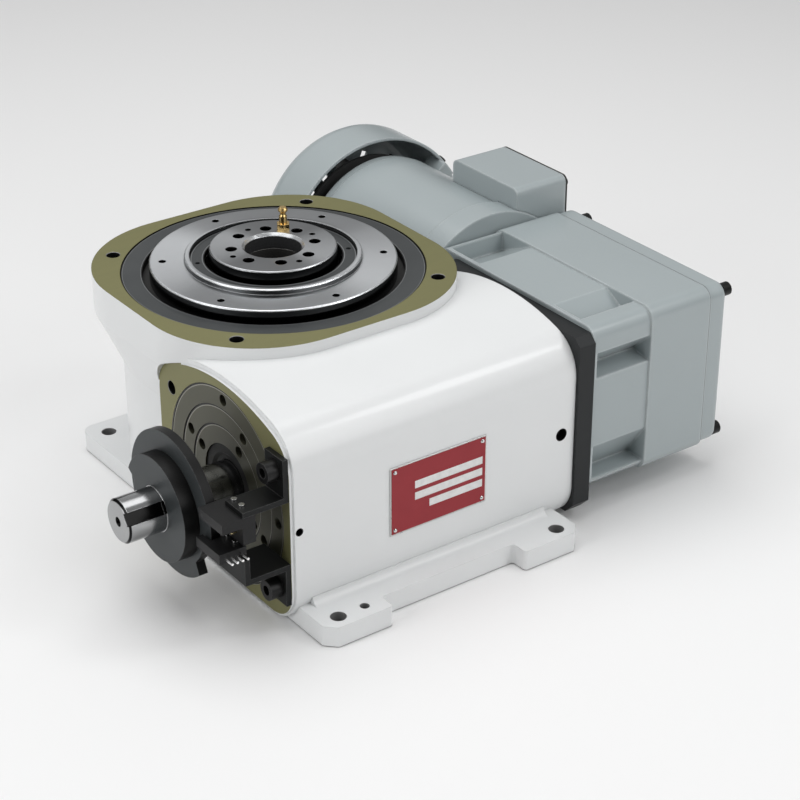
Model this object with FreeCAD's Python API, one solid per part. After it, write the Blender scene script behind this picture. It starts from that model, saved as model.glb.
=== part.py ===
# Rotary index drive: a roller gear cam unit with a right-angle gear motor.
# The output axis is +Z through the origin, and the feet stand on z = 0.
# The input shaft runs along X, on the -Y side of the output axis, with the gear motor at +X.
import FreeCAD, Part
import math
import os

# Main layout
centre_distance = 100.0
shaft_height = 67.0
housing_height = 146.0

# Clearances
seat_gap = 0.05
run_gap = 0.3
fit_gap = 0.04

# Housing casting
top_half = 105.5
top_corner = 76.5
top_rim = 26.0
top_flare = 30.0
body_half = 98.0
body_corner = 95.0
bay_side = 71.5
bay_inner_side = 78.0
bay_drop = 7.5
bay_crown_radius = 170.0
bay_corner = 28.0
bay_foot_corner = 26.0
bay_face = 99.5
rear_face = 110.0
base_rear = 99.5
pad_height = 2.0
pad_side = 70.0
pad_inner_side = 75.0
pad_drop = 10.5
pad_crown_radius = 150.0
pad_corner = 24.0
pad_foot_corner = 22.0
pad_bottom = 3.0
pad_margin = 1.0
top_hole_spacing = 150.0
top_hole_radius = 4.25
top_hole_depth = 16.0
hole_mouth = 0.4
pad_hole_y = 60.0
pad_hole_z = 39.6
pad_hole_radius = 4.25
pad_hole_depth = 16.0
side_hole_front = 96.2
side_hole_radius = 2.5
side_hole_rear = 99.6
side_port_radius = 4.2
side_hole_depth = 6.0

# Base flange
base_thickness = 13.6
base_half = 96.0
base_front = 200.0
base_corner = 8.0
base_chamfer = 7.0
base_edge = 1.5
notch_half = 50.0
notch_depth = 12.0
notch_corner = 2.5
foot_hole_x = 82.6
foot_hole_front = 189.9
foot_hole_rear = 84.4
foot_hole_radius = 5.0
dowel_hole_x = 63.8
dowel_hole_radius = 3.0
cove_radius = 5.0

# Chambers inside the housing
chamber_radius = 84.0
bearing_bore = 92.0
bearing_seat_depth = 22.0
ring_recess_depth = 7.5
bay_bore = 55.0
carrier_radius = 63.2
carrier_depth = 24.5
bottom_cover_radius = 92.0
bottom_cover_thickness = 6.0
bottom_cover_lift = 2.0
cover_screw_count = 6
cover_screw_radius = 2.0
cover_screw_head = 3.5
cover_screw_depth = 6.0

# Output parts
cover_ring_radius = 97.4
cover_ring_bore = 83.8
cover_ring_drop = 0.7
table_radius = 79.2
table_rise = 6.3
table_under_depth = 5.0
table_stem = 76.0
table_bore = 44.2
table_hole_circle = 141.2
table_hole_count = 6
table_hole_radius = 2.1
table_hole_depth = 8.0
small_hole_mouth = 0.3
table_hole_angle = 30.0
step_radius = 56.9
step_rise = 9.7
bevel = 0.8
retainer_radius = 53.5
retainer_floor_rise = 3.0
retainer_rise = 7.0
retainer_hole_radius = 1.6
retainer_hole_angle = -22.5
race_split = 80.0
turret_radius = 60.0
turret_bottom = 46.0
turret_shoulder = 88.0
neck_radius = 56.0
turret_bore = 34.0

# Fixed centre
bore_radius = 18.2
bore_chamfer = 1.8
post_radius = 30.0
post_foot_radius = 44.0
post_foot_height = 10.0
hub_radius = 40.8
hub_foot_rise = 4.0
hub_rise = 14.4
hub_hole_circle = 54.0
hub_hole_count = 8
hub_hole_radius = 3.4
hub_hole_angle = 22.5
hub_small_circle = 60.0
hub_small_count = 4
hub_small_radius = 1.7
nipple_angle = 43.0
nipple_circle = 26.9
nipple_nut_radius = 4.5
nipple_nut_height = 4.0
nipple_outline = [(2.6, 4), (2.6, 9), (1.9, 10.2), (1.9, 11), (3.2, 12.6), (3.2, 13.6), (2.2, 15)]

# Roller gear cam
follower_count = 12
roller_radius = 9.0
roller_end = 78.2
stud_radius = 5.5
stud_root = 39.0
rib_tip_gap = 1.0
root_gap = 1.3
rib_clearance = 0.45
rib_bite = 2.5
rib_reach = 34.0
hub_reach = 44.0
rib_step = 10.0
hub_sides = 36
hub_slices = 8

# Input shaft and its bearings
shaft_radius = 14.0
seat_radius = 14.5
shaft_tip = 175.0
shaft_tail = 146.0
tip_chamfer = 1.5
centre_hole_radius = 3.0
centre_hole_depth = 6.0
keyway_width = 8.0
keyway_depth = 4.0
keyway_turn = 30.0
key_height = 7.0
collar_radius = 18.0
adjust_radius = 50.4
retainer_cap_radius = 38.0
seal_radius = 25.3
seal_dish = 1.5
seal_lip = 3.0
seal_slope = 2.0
ring_set_back = 0.4
cap_thickness = 9.0
cup_bore = 31.0
cup_taper = 3.0
outer_screw_circle = 56.6
adjust_screw_circle = 44.5
cap_screw_circle = 31.6
screw_hole_radius = 3.6
screw_head_height = 5.0
screw_sink = 3.0
ring_screw_angle = 27.0

# Timing cams and their sensors
rear_cam_radius = 46.0
rear_cam_face = 140.0
rear_cam_thickness = 6.0
front_cam_radius = 33.5
front_cam_face = 150.0
cam_notch_depth = 8.0
cam_notch_sweep = 40.0
cam_notch_start = 226.0
front_notch_start = 20.0
bracket_width = 19.0
bracket_thickness = 3.5
bracket_reach = 31.0
bracket_drop = 18.6
bracket_head_radius = 6.5
bracket_head_height = 8.0
lower_arm_width = 28.5
tab_height = 13.5
sensor_length = 25.5
sensor_width = 18.0
sensor_height = 6.5
sensor_case_width = 8.5
sensor_case_height = 18.0
sensor_inset = 0.5
lower_sensor_inset = 5.0
sensor_screw_radius = 1.0
sensor_screw_head = 1.8
sensor_screw_depth = 3.5
sensor_screw_inset = 7.5
sensor_screw_pitch = 8.0
slot_gap = 1.5
pin_radius = 0.8
pin_length = 8.0
pin_pitch = 3.5
pin_count = 4
contact_length = 3.5

# Nameplate
plate_width = 72.0
plate_height = 46.5
plate_thickness = 1.0
plate_shift = 3.7
plate_lift = 64.0
rivet_radius = 1.4
rivet_inset = 3.4
rivet_height = 0.8

# Adapter plate and gear case
adapter_thickness = 12.5
adapter_half = 74.0
adapter_bottom = 5.0
adapter_top = 130.5
adapter_corner = 9.0
adapter_chamfer = 5.5
adapter_foot_chamfer = 8.0
adapter_edge = 0.6
case_end = 14.0
case_front = 174.0
case_bottom = 18.0
case_top = 135.0
case_width = 96.5
case_wall = 7.0
case_corner = 9.0
case_step_x = 46.5
case_step = 1.5
case_floor = 30.0
case_roof = 112.0
case_cavity_front = 140.0
case_left_wall = 14.0
cover_thickness = 15.5
cover_inset = 1.2
cover_corner = 4.0
scoop_flange = 3.0
side_scoop_depth = 17.5
upper_scoop = (98.4, 118.0)
upper_scoop_slope = 3.0
lower_scoop = (26.0, 52.5)
lower_scoop_slope = 0.5
front_scoop = (-127.0, -155.5)
front_scoop_depth = 17.0
rear_scoop = (-57.0, -22.5)
rear_scoop_depth = 15.0
case_bolt_inset = 7.0
bolt_radius = 3.0
bolt_head_radius = 4.5
bolt_head_height = 6.0
bolt_grip = 10.0
recess_share = 0.6
head_clearance = 0.5
adapter_bolt_y = 55.0
adapter_bolt_z = 43.0

# Gear train
spur_module = 1.6
pinion_teeth = 14
output_teeth = 42
spur_width = 10.0
crown_module = 1.45
motor_teeth = 10
crown_teeth = 40
crown_face = 8.0
crown_thickness = 8.0
tooth_height = 0.85
tooth_depth = 1.2
socket_radius = 20.0
journal_radius = 10.0
counter_radius = 8.0
bearing_ring = 6.0
left_bearing_width = 10.0

# Motor
motor_x = 167.0
motor_z = 77.6
frame_radius = 65.0
frame_wall = 6.0
flange_rise = 2.0
flange_width = 20.0
frame_end = 114.0
shield_thickness = 7.0
stator_start = 28.0
stator_end = 92.0
stator_thickness = 22.0
winding_overhang = 14.0
air_gap = 0.6
rotor_radius = 8.0
rotor_bearing = 8.0
hood_rise = 12.2
hood_start = 121.8
hood_end = 168.0
hood_wall = 2.0
hood_corner = 14.0
slot_count = 16
slot_start = 22.0
slot_length = 32.0
slot_width = 5.0
lug_count = 3
lug_angle = 36.0
lug_width = 12.0
lug_overlap = 11.0
fan_inset = 5.0
fan_start = 136.0
fan_width = 20.0
fan_blades = 7
fan_sheet = 2.5
small_screw_radius = 2.0
small_head_radius = 3.2
small_head_height = 2.0

# Terminal box
terminal_depth = 43.0
terminal_front = 12.7
terminal_length = 72.0
terminal_rise = 13.4
terminal_height = 60.0
terminal_wall = 3.0
terminal_corner = 5.0
gasket_thickness = 1.5
lid_thickness = 2.2
lid_inset = 3.0
lid_screw_inset = 7.5

# Places worked out from the sizes above
V = FreeCAD.Vector
ORIGIN = V(0, 0, 0)
X_AXIS = V(1, 0, 0)
Y_AXIS = V(0, 1, 0)
Z_AXIS = V(0, 0, 1)
shaft_y = -centre_distance
side_y = shaft_y - bay_side
front_face = bay_face + pad_height
adapter_face = rear_face + adapter_thickness
case_right = adapter_face + case_width
rear_shoulder = rear_face + 2.0
carrier_inner = front_face - carrier_depth
rear_carrier_inner = rear_face - carrier_depth
cover_seat = bottom_cover_lift + bottom_cover_thickness
bearing_seat = housing_height - bearing_seat_depth
ring_recess = housing_height - ring_recess_depth
table_under = housing_height - table_under_depth
table_top = housing_height + table_rise
step_top = housing_height + step_rise
retainer_floor = housing_height + retainer_floor_rise
retainer_top = housing_height + retainer_rise
hub_bottom = housing_height + hub_foot_rise
hub_top = housing_height + hub_rise
output_pitch = spur_module * output_teeth / 2
pinion_pitch = spur_module * pinion_teeth / 2
motor_pitch = crown_module * motor_teeth / 2
crown_pitch = crown_module * crown_teeth / 2
flange_radius = frame_radius + flange_rise
stator_bore = frame_radius - frame_wall - stator_thickness
hood_radius = frame_radius + hood_rise
fan_radius = frame_radius - fan_inset
terminal_right = motor_x + frame_radius
terminal_left = terminal_right - terminal_depth
terminal_top = motor_z + frame_radius + terminal_rise
terminal_bottom = terminal_top - terminal_height
counter_rise = motor_z - shaft_height
counter_y = shaft_y + math.sqrt((output_pitch + pinion_pitch) ** 2 - counter_rise ** 2)


def box(x0, x1, y0, y1, z0, z1):
    return Part.makeBox(x1 - x0, y1 - y0, z1 - z0, V(x0, y0, z0))


def cylinder_x(radius, x0, x1, y, z):
    return Part.makeCylinder(radius, x1 - x0, V(x0, y, z), X_AXIS)


def cylinder_y(radius, y0, y1, x, z):
    return Part.makeCylinder(radius, y1 - y0, V(x, y0, z), Y_AXIS)


def cylinder_z(radius, z0, z1, x=0.0, y=0.0):
    return Part.makeCylinder(radius, z1 - z0, V(x, y, z0), Z_AXIS)


def on_shaft(radius, x0, x1):
    return cylinder_x(radius, x0, x1, shaft_y, shaft_height)


def shaft_ring(outer, inner, x0, x1):
    return on_shaft(outer, x0, x1).cut(on_shaft(inner, x0, x1))


def motor_ring(outer, inner, y0, y1):
    return cylinder_y(outer, y0, y1, motor_x, motor_z).cut(cylinder_y(inner, y0, y1, motor_x, motor_z))


def lathe(profile, origin, axis, radial):
    """Turns a closed outline of (radius, height) points about an axis."""
    points = [origin + axis * height + radial * radius for radius, height in profile]
    face = Part.Face(Part.makePolygon(points + points[:1]))
    return face.revolve(origin, axis, 360)


def rounded_wire(corners, place):
    """An outline of straight sides whose corners (u, v, radius) are rounded."""
    arcs = []
    for i, (u, v, radius) in enumerate(corners):
        before = corners[i - 1]
        after = corners[(i + 1) % len(corners)]
        ends = []
        for other in (before, after):
            length = math.hypot(other[0] - u, other[1] - v)
            ends.append(((other[0] - u) / length, (other[1] - v) / length))
        half = 0.5 * math.acos(ends[0][0] * ends[1][0] + ends[0][1] * ends[1][1])
        back = radius / math.tan(half)
        middle_u = ends[0][0] + ends[1][0]
        middle_v = ends[0][1] + ends[1][1]
        size = math.hypot(middle_u, middle_v)
        depth = radius / math.sin(half) - radius
        start = place(u + ends[0][0] * back, v + ends[0][1] * back)
        middle = place(u + middle_u / size * depth, v + middle_v / size * depth)
        end = place(u + ends[1][0] * back, v + ends[1][1] * back)
        arcs.append((start, middle, end, radius))
    edges = []
    for i, (start, middle, end, radius) in enumerate(arcs):
        if radius > 0:
            edges.append(Part.Arc(start, middle, end).toShape())
        following = arcs[(i + 1) % len(arcs)][0]
        if end.distanceToPoint(following) > 1e-6:
            edges.append(Part.makeLine(end, following))
    return Part.Wire(edges)


def square_corners(half, radius):
    return [(-half, -half, radius), (half, -half, radius), (half, half, radius), (-half, half, radius)]


def plate_z(corners, z0, z1):
    wire = rounded_wire(corners, lambda u, v: V(u, v, z0))
    return Part.Face(wire).extrude(V(0, 0, z1 - z0))


def plate_x(corners, x0, x1):
    wire = rounded_wire(corners, lambda u, v: V(x0, u, v))
    return Part.Face(wire).extrude(V(x1 - x0, 0, 0))


def plate_y(corners, y0, y1):
    wire = rounded_wire(corners, lambda u, v: V(u, y0, v))
    return Part.Face(wire).extrude(V(0, y1 - y0, 0))


def rectangle(u0, u1, v0, v1, radius):
    return [(u0, v0, radius), (u1, v0, radius), (u1, v1, radius), (u0, v1, radius)]


def polar(count, circle_radius, start_angle):
    places = []
    for i in range(count):
        angle = math.radians(start_angle + 360.0 * i / count)
        places.append((circle_radius * math.cos(angle), circle_radius * math.sin(angle)))
    return places


def bar(corner, width, length, height):
    """A block from one corner along three directions."""
    outline = [corner, corner + width, corner + width + length, corner + length]
    return Part.Face(Part.makePolygon(outline + outline[:1])).extrude(height)


def hole_x(radius, mouth, face, depth, y, z):
    """A blind hole with a chamfered mouth in a face that looks along -X."""
    wall = cylinder_x(radius, face, face + depth, y, z)
    return wall.fuse(Part.makeCone(radius + mouth, radius, mouth, V(face, y, z), X_AXIS))


def hole_z(radius, mouth, bottom, face, x, y):
    """A hole with a chamfered mouth in a face that looks up."""
    wall = cylinder_z(radius, bottom, face, x, y)
    return wall.fuse(Part.makeCone(radius, radius + mouth, mouth, V(x, y, face - mouth), Z_AXIS))


def drill(shape, tools):
    return shape.cut(Part.makeCompound(tools))


def join(shapes):
    first = shapes[0]
    return first.fuse(shapes[1:]).removeSplitter()


def faceted(sections):
    """A solid of flat facets through a row of closed sections with the same number of points."""
    caps = (sections[0], sections[-1])
    faces = [Part.Face(Part.makePolygon(cap + cap[:1])) for cap in caps]
    for near, far in zip(sections, sections[1:]):
        for i in range(len(near)):
            j = (i + 1) % len(near)
            faces.append(Part.Face(Part.makePolygon([near[i], near[j], far[j], near[i]])))
            faces.append(Part.Face(Part.makePolygon([near[i], far[j], far[i], near[i]])))
    return Part.Solid(Part.makeShell(faces))


def arched_wire(front, back, bottom, foot, crown_y, crown, crown_radius, corner, x):
    """A bay outline in YZ: upright sides, an arched top and rounded corners."""
    centre_z = crown - crown_radius
    reach = crown_radius - corner

    def shoulder(side, inward):
        middle_y = side + inward * corner
        middle_z = centre_z + math.sqrt(reach ** 2 - (middle_y - crown_y) ** 2)
        toward_y = (middle_y - crown_y) / reach
        toward_z = (middle_z - centre_z) / reach
        low = V(x, side, middle_z)
        high = V(x, crown_y + crown_radius * toward_y, centre_z + crown_radius * toward_z)
        turn = math.atan2(toward_z, toward_y)
        turn = (turn + (math.pi if inward > 0 else 0.0)) / 2
        peak = V(x, middle_y + corner * math.cos(turn), middle_z + corner * math.sin(turn))
        return low, peak, high

    front_low, front_peak, front_high = shoulder(front, 1)
    back_low, back_peak, back_high = shoulder(back, -1)
    slant = foot * (1 - math.sqrt(0.5))
    foot_end = V(x, front + foot, bottom)
    foot_middle = V(x, front + slant, bottom + slant)
    foot_start = V(x, front, bottom + foot)
    edges = [
        Part.makeLine(foot_start, front_low),
        Part.Arc(front_low, front_peak, front_high).toShape(),
        Part.Arc(front_high, V(x, crown_y, crown), back_high).toShape(),
        Part.Arc(back_high, back_peak, back_low).toShape(),
        Part.makeLine(back_low, V(x, back, bottom)),
        Part.makeLine(V(x, back, bottom), foot_end),
        Part.Arc(foot_end, foot_middle, foot_start).toShape(),
    ]
    return Part.Wire(edges)


def socket_screw(base, direction, head_radius, head_height, shank_radius, shank_length):
    """A cap screw with a round recess: base is under the head, direction points out of the head."""
    recess_radius = head_radius / 2
    recess_depth = head_height * recess_share
    head = Part.makeCylinder(head_radius, head_height, base, direction)
    shank = Part.makeCylinder(shank_radius, shank_length, base, direction * -1)
    recess_floor = base + direction * (head_height - recess_depth)
    recess = Part.makeCylinder(recess_radius, recess_depth, recess_floor, direction)
    return head.fuse(shank).cut(recess).removeSplitter()


def base_flange():
    corners = [
        (-base_half, -base_front + base_chamfer, base_edge),
        (-base_half + base_chamfer, -base_front, base_edge),
        (-notch_half, -base_front, notch_corner),
        (-notch_half, -base_front + notch_depth, notch_corner),
        (notch_half, -base_front + notch_depth, notch_corner),
        (notch_half, -base_front, notch_corner),
        (base_half - base_chamfer, -base_front, base_edge),
        (base_half, -base_front + base_chamfer, base_edge),
        (base_half, base_rear, base_corner),
        (-base_half, base_rear, base_corner),
    ]
    return plate_z(corners, 0, base_thickness)


def foot_cove():
    """The concave fillet where the nameplate side meets the base flange."""
    x = -base_half + base_corner
    low = base_thickness
    arc_middle = cove_radius * (1 - math.sqrt(0.5))
    start = V(x, side_y - cove_radius, low)
    end = V(x, side_y, low + cove_radius)
    inner_top = V(x, side_y + bay_foot_corner, low + cove_radius)
    inner_low = V(x, side_y + bay_foot_corner, low)
    arc = Part.Arc(start, V(x, side_y - arc_middle, low + arc_middle), end).toShape()
    wire = Part.Wire([
        arc,
        Part.makeLine(end, inner_top),
        Part.makeLine(inner_top, inner_low),
        Part.makeLine(inner_low, start),
    ])
    return Part.Face(wire).extrude(V(-2 * x, 0, 0))


def top_casting():
    """The casting under the top face: its sides flare out and its corners draw in towards the top."""
    flare_bottom = housing_height - top_rim - top_flare
    flare_top = housing_height - top_rim
    low = rounded_wire(square_corners(body_half, body_corner), lambda u, v: V(u, v, flare_bottom))
    high = rounded_wire(square_corners(top_half, top_corner), lambda u, v: V(u, v, flare_top))
    return [
        plate_z(square_corners(body_half, body_corner), 0, flare_bottom),
        Part.makeLoft([low, high], True, True),
        plate_z(square_corners(top_half, top_corner), flare_top, housing_height),
    ]


def pad_outline(spare):
    """The outline of the machined shaft face, grown by a spare edge."""
    return arched_wire(
        shaft_y - pad_side - spare, shaft_y + pad_inner_side + spare, pad_bottom - spare,
        pad_foot_corner + spare, shaft_y, housing_height - pad_drop + spare,
        pad_crown_radius + spare, pad_corner + spare, -front_face)


def make_housing():
    bay = Part.Face(arched_wire(
        side_y, shaft_y + bay_inner_side, 0, bay_foot_corner, shaft_y, housing_height - bay_drop,
        bay_crown_radius, bay_corner, -bay_face)).extrude(V(bay_face + rear_face, 0, 0))
    pad = Part.Face(pad_outline(0)).extrude(V(pad_height, 0, 0))
    mill_depth = top_half - front_face + pad_margin
    milled = Part.Face(pad_outline(pad_margin)).extrude(V(-mill_depth, 0, 0))
    casting = join([base_flange(), foot_cove(), bay, pad] + top_casting())
    tools = [
        milled,
        cylinder_z(bottom_cover_radius + seat_gap, 0, cover_seat),
        cylinder_z(chamber_radius, cover_seat, bearing_seat),
        cylinder_z(bearing_bore + seat_gap, bearing_seat, ring_recess),
        cylinder_z(cover_ring_radius + run_gap, ring_recess, housing_height),
        on_shaft(bay_bore, -carrier_inner, rear_carrier_inner),
        on_shaft(carrier_radius + seat_gap, -front_face, -carrier_inner),
        on_shaft(carrier_radius + seat_gap, rear_carrier_inner, rear_face),
    ]
    half = top_hole_spacing / 2
    for x in (-half, half):
        for y in (-half, half):
            bottom = housing_height - top_hole_depth
            tools.append(hole_z(top_hole_radius, hole_mouth, bottom, housing_height, x, y))
        for y in (-foot_hole_front, foot_hole_rear):
            side = math.copysign(foot_hole_x, x)
            tools.append(cylinder_z(foot_hole_radius, 0, base_thickness, side, y))
    tools.append(cylinder_z(dowel_hole_radius, 0, base_thickness, -dowel_hole_x, -foot_hole_front))
    for radius, x in ((side_hole_radius, -side_hole_front), (side_port_radius, side_hole_rear)):
        tools.append(cylinder_y(radius, side_y, side_y + side_hole_depth, x, shaft_height))
    for y in (-pad_hole_y, pad_hole_y):
        for z in (-pad_hole_z, pad_hole_z):
            place = (shaft_y + y, shaft_height + z)
            tools.append(hole_x(pad_hole_radius, hole_mouth, -front_face, pad_hole_depth, *place))
    for y, z in adapter_bolt_places():
        tools.append(cylinder_x(bolt_radius + seat_gap, rear_face - bolt_grip - 1, rear_face, y, z))
    for x, y in bottom_screw_places():
        hole_end = cover_seat + cover_screw_depth + 1
        tools.append(cylinder_z(cover_screw_radius + seat_gap, cover_seat, hole_end, x, y))
    return drill(casting, tools)


def bottom_screw_places():
    return polar(cover_screw_count, (bottom_cover_radius + chamber_radius) / 2, 0)


def adapter_bolt_places():
    places = []
    for y in (shaft_y - adapter_bolt_y, shaft_y + adapter_bolt_y):
        for z in (shaft_height - adapter_bolt_z, shaft_height + adapter_bolt_z):
            places.append((y, z))
    return places


def make_bottom_cover():
    disc = cylinder_z(bottom_cover_radius, bottom_cover_lift, cover_seat)
    tools = [cylinder_z(post_radius + seat_gap, bottom_cover_lift, cover_seat)]
    for x, y in bottom_screw_places():
        tools.append(cylinder_z(cover_screw_radius + seat_gap, bottom_cover_lift, cover_seat, x, y))
    return drill(disc, tools)


def make_bottom_cover_screws():
    screws = []
    for x, y in bottom_screw_places():
        head = cylinder_z(cover_screw_head, run_gap, bottom_cover_lift, x, y)
        shank = cylinder_z(cover_screw_radius, bottom_cover_lift, cover_seat + cover_screw_depth, x, y)
        screws.append(head.fuse(shank))
    return Part.makeCompound(screws)


def make_bearing_cover_ring():
    top = housing_height - cover_ring_drop
    ring = cylinder_z(cover_ring_radius, ring_recess, top)
    return ring.cut(cylinder_z(cover_ring_bore, ring_recess, top))


def make_output_seal():
    low = ring_recess + seat_gap
    high = table_under - run_gap
    outer = cylinder_z(cover_ring_bore - seat_gap, low, high)
    return outer.cut(cylinder_z(table_stem + run_gap, low, high))


def make_outer_race():
    outer = cylinder_z(bearing_bore, bearing_seat, ring_recess - seat_gap)
    return outer.cut(cylinder_z(race_split + run_gap, bearing_seat, ring_recess - seat_gap))


def make_inner_race():
    low = bearing_seat
    high = ring_recess - run_gap
    return cylinder_z(race_split, low, high).cut(cylinder_z(table_stem + seat_gap, low, high))


def make_output_table():
    """The polished stepped table: stem for the bearing, flange, raised step and a ledge for the retainer."""
    profile = [
        (table_bore, bearing_seat),
        (table_stem, bearing_seat),
        (table_stem, table_under),
        (table_radius, table_under),
        (table_radius, table_top - bevel),
        (table_radius - bevel, table_top),
        (step_radius, table_top),
        (step_radius, step_top - bevel),
        (step_radius - bevel, step_top),
        (retainer_radius + seat_gap, step_top),
        (retainer_radius + seat_gap, retainer_floor),
        (table_bore, retainer_floor),
    ]
    table = lathe(profile, ORIGIN, Z_AXIS, X_AXIS)
    holes = []
    for x, y in polar(table_hole_count, table_hole_circle / 2, table_hole_angle):
        bottom = table_top - table_hole_depth
        holes.append(hole_z(table_hole_radius, small_hole_mouth, bottom, table_top, x, y))
    return drill(table, holes)


def make_inner_retainer():
    ring = cylinder_z(retainer_radius, retainer_floor, retainer_top)
    ring = ring.cut(cylinder_z(table_bore, retainer_floor, retainer_top))
    holes = []
    for x, y in polar(2, (retainer_radius + table_bore) / 2, retainer_hole_angle):
        holes.append(cylinder_z(retainer_hole_radius, retainer_floor, retainer_top, x, y))
    return drill(ring, holes)


def make_turret():
    """The roller carrier under the table, with a radial hole for each follower stud."""
    profile = [
        (turret_bore, turret_bottom),
        (neck_radius, turret_bottom),
        (turret_radius, turret_bottom + turret_radius - neck_radius),
        (turret_radius, turret_shoulder - turret_radius + neck_radius),
        (neck_radius, turret_shoulder),
        (neck_radius, bearing_seat),
        (turret_bore, bearing_seat),
    ]
    turret = lathe(profile, ORIGIN, Z_AXIS, X_AXIS)
    holes = [follower(stud_radius + seat_gap, stud_root, turret_radius, i) for i in range(follower_count)]
    return drill(turret, holes)


def follower(radius, start, end, index):
    """A radial cylinder on the follower circle. The first two stand either side of the cam's middle."""
    angle = math.radians(-90 + (index + 0.5) * 360.0 / follower_count)
    direction = V(math.cos(angle), math.sin(angle), 0)
    return Part.makeCylinder(radius, end - start, V(0, 0, shaft_height) + direction * start, direction)


def make_follower_studs():
    stud_end = roller_end - head_clearance
    return Part.makeCompound([follower(stud_radius, stud_root, stud_end, i) for i in range(follower_count)])


def make_follower_rollers():
    rollers = []
    start = turret_radius + run_gap
    for i in range(follower_count):
        roller = follower(roller_radius, start, roller_end, i)
        rollers.append(roller.cut(follower(stud_radius + seat_gap, start, roller_end, i)))
    return Part.makeCompound(rollers)


def make_center_post():
    """The fixed hollow post: it goes through the bottom cover, and its foot stands on it."""
    profile = [
        (bore_radius, 0),
        (post_radius, 0),
        (post_radius, cover_seat),
        (post_foot_radius, cover_seat),
        (post_foot_radius, cover_seat + post_foot_height),
        (post_radius, cover_seat + post_foot_height),
        (post_radius, hub_bottom),
        (bore_radius, hub_bottom),
    ]
    return lathe(profile, ORIGIN, Z_AXIS, X_AXIS)


def make_center_hub():
    profile = [
        (bore_radius, hub_bottom),
        (hub_radius, hub_bottom),
        (hub_radius, hub_top - bevel),
        (hub_radius - bevel, hub_top),
        (bore_radius + bore_chamfer, hub_top),
        (bore_radius, hub_top - bore_chamfer),
    ]
    hub = lathe(profile, ORIGIN, Z_AXIS, X_AXIS)
    holes = []
    for x, y in polar(hub_hole_count, hub_hole_circle / 2, hub_hole_angle):
        holes.append(hole_z(hub_hole_radius, hole_mouth, hub_bottom, hub_top, x, y))
    for x, y in polar(hub_small_count, hub_small_circle / 2, 0):
        holes.append(hole_z(hub_small_radius, small_hole_mouth, hub_bottom, hub_top, x, y))
    return drill(hub, holes)


def make_grease_nipple():
    angle = math.radians(nipple_angle)
    foot = V(nipple_circle * math.cos(angle), nipple_circle * math.sin(angle), hub_top)
    hexagon = []
    for i in range(6):
        turn = math.radians(60 * i)
        hexagon.append(foot + V(nipple_nut_radius * math.cos(turn), nipple_nut_radius * math.sin(turn), 0))
    nut = Part.Face(Part.makePolygon(hexagon + hexagon[:1])).extrude(V(0, 0, nipple_nut_height))
    profile = [(0, nipple_nut_height)] + nipple_outline + [(0, nipple_outline[-1][1])]
    stem = lathe(profile, foot, Z_AXIS, X_AXIS)
    return nut.fuse(stem).removeSplitter()


def cam_point(radius, alpha, turn):
    """A point of the cam seen from the output axis: radius and angle there, then its turn about the shaft."""
    arm = centre_distance - radius * math.cos(alpha)
    return V(radius * math.sin(alpha), shaft_y + arm * math.cos(turn), shaft_height + arm * math.sin(turn))


def rib_half_angle(radius, alpha):
    """Half the rib's width as an angle at the output axis, clear of the rollers on both sides."""
    arm = centre_distance - radius * math.cos(alpha)
    lead = radius / (follower_count * arm)
    offset = roller_radius * math.sqrt(1 + lead * lead) + rib_clearance
    return math.pi / follower_count - math.asin(offset / radius)


def make_roller_gear_cam():
    """A globoid hub with one tapered rib that winds round it between the follower rollers."""
    tip = turret_radius + rib_tip_gap
    root = roller_end + root_gap
    reach = math.radians(rib_reach)
    turns = reach * follower_count
    steps = int(round(2 * turns / math.radians(rib_step)))
    sections = []
    for i in range(steps + 1):
        turn = -turns + 2 * turns * i / steps
        alpha = -turn / follower_count
        corners = []
        for radius, side in ((root + rib_bite, -1), (tip, -1), (tip, 1), (root + rib_bite, 1)):
            corners.append(cam_point(radius, alpha + side * rib_half_angle(radius, alpha), turn))
        sections.append(corners)
    rib = faceted(sections)
    hub_end = math.radians(hub_reach)
    rounds = []
    for i in range(hub_slices + 1):
        alpha = -hub_end + 2 * hub_end * i / hub_slices
        rounds.append([cam_point(root, alpha, 2 * math.pi * k / hub_sides) for k in range(hub_sides)])
    hub = faceted(rounds)
    end_x = root * math.sin(hub_end)
    collars = [
        on_shaft(collar_radius, -carrier_inner, -end_x),
        on_shaft(collar_radius, end_x, rear_carrier_inner),
    ]
    cam = hub.fuse([rib] + collars)
    return cam.cut(on_shaft(seat_radius + seat_gap, -carrier_inner, rear_carrier_inner))


def make_input_shaft():
    profile = [
        (0, -shaft_tip),
        (shaft_radius - tip_chamfer, -shaft_tip),
        (shaft_radius, -shaft_tip + tip_chamfer),
        (shaft_radius, -front_cam_face),
        (seat_radius, -front_cam_face),
        (seat_radius, rear_shoulder),
        (shaft_radius, rear_shoulder),
        (shaft_radius, shaft_tail - tip_chamfer),
        (shaft_radius - tip_chamfer, shaft_tail),
        (0, shaft_tail),
    ]
    shaft = lathe(profile, V(0, shaft_y, shaft_height), X_AXIS, Y_AXIS)
    tip = V(-shaft_tip, shaft_y, shaft_height)
    centre_hole = Part.makeCone(centre_hole_radius, centre_hole_radius / 6, centre_hole_depth, tip, X_AXIS)
    keyway = box(
        -shaft_tip, -front_cam_face,
        shaft_y - shaft_radius, shaft_y - shaft_radius + keyway_depth,
        shaft_height - keyway_width / 2, shaft_height + keyway_width / 2)
    keyway.rotate(tip, X_AXIS, -keyway_turn)
    return drill(shaft, [centre_hole, keyway, gear_keyway()])


def gear_keyway():
    return key_block(keyway_width / 2 + seat_gap, shaft_y + shaft_radius - keyway_depth, seat_gap)


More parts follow.
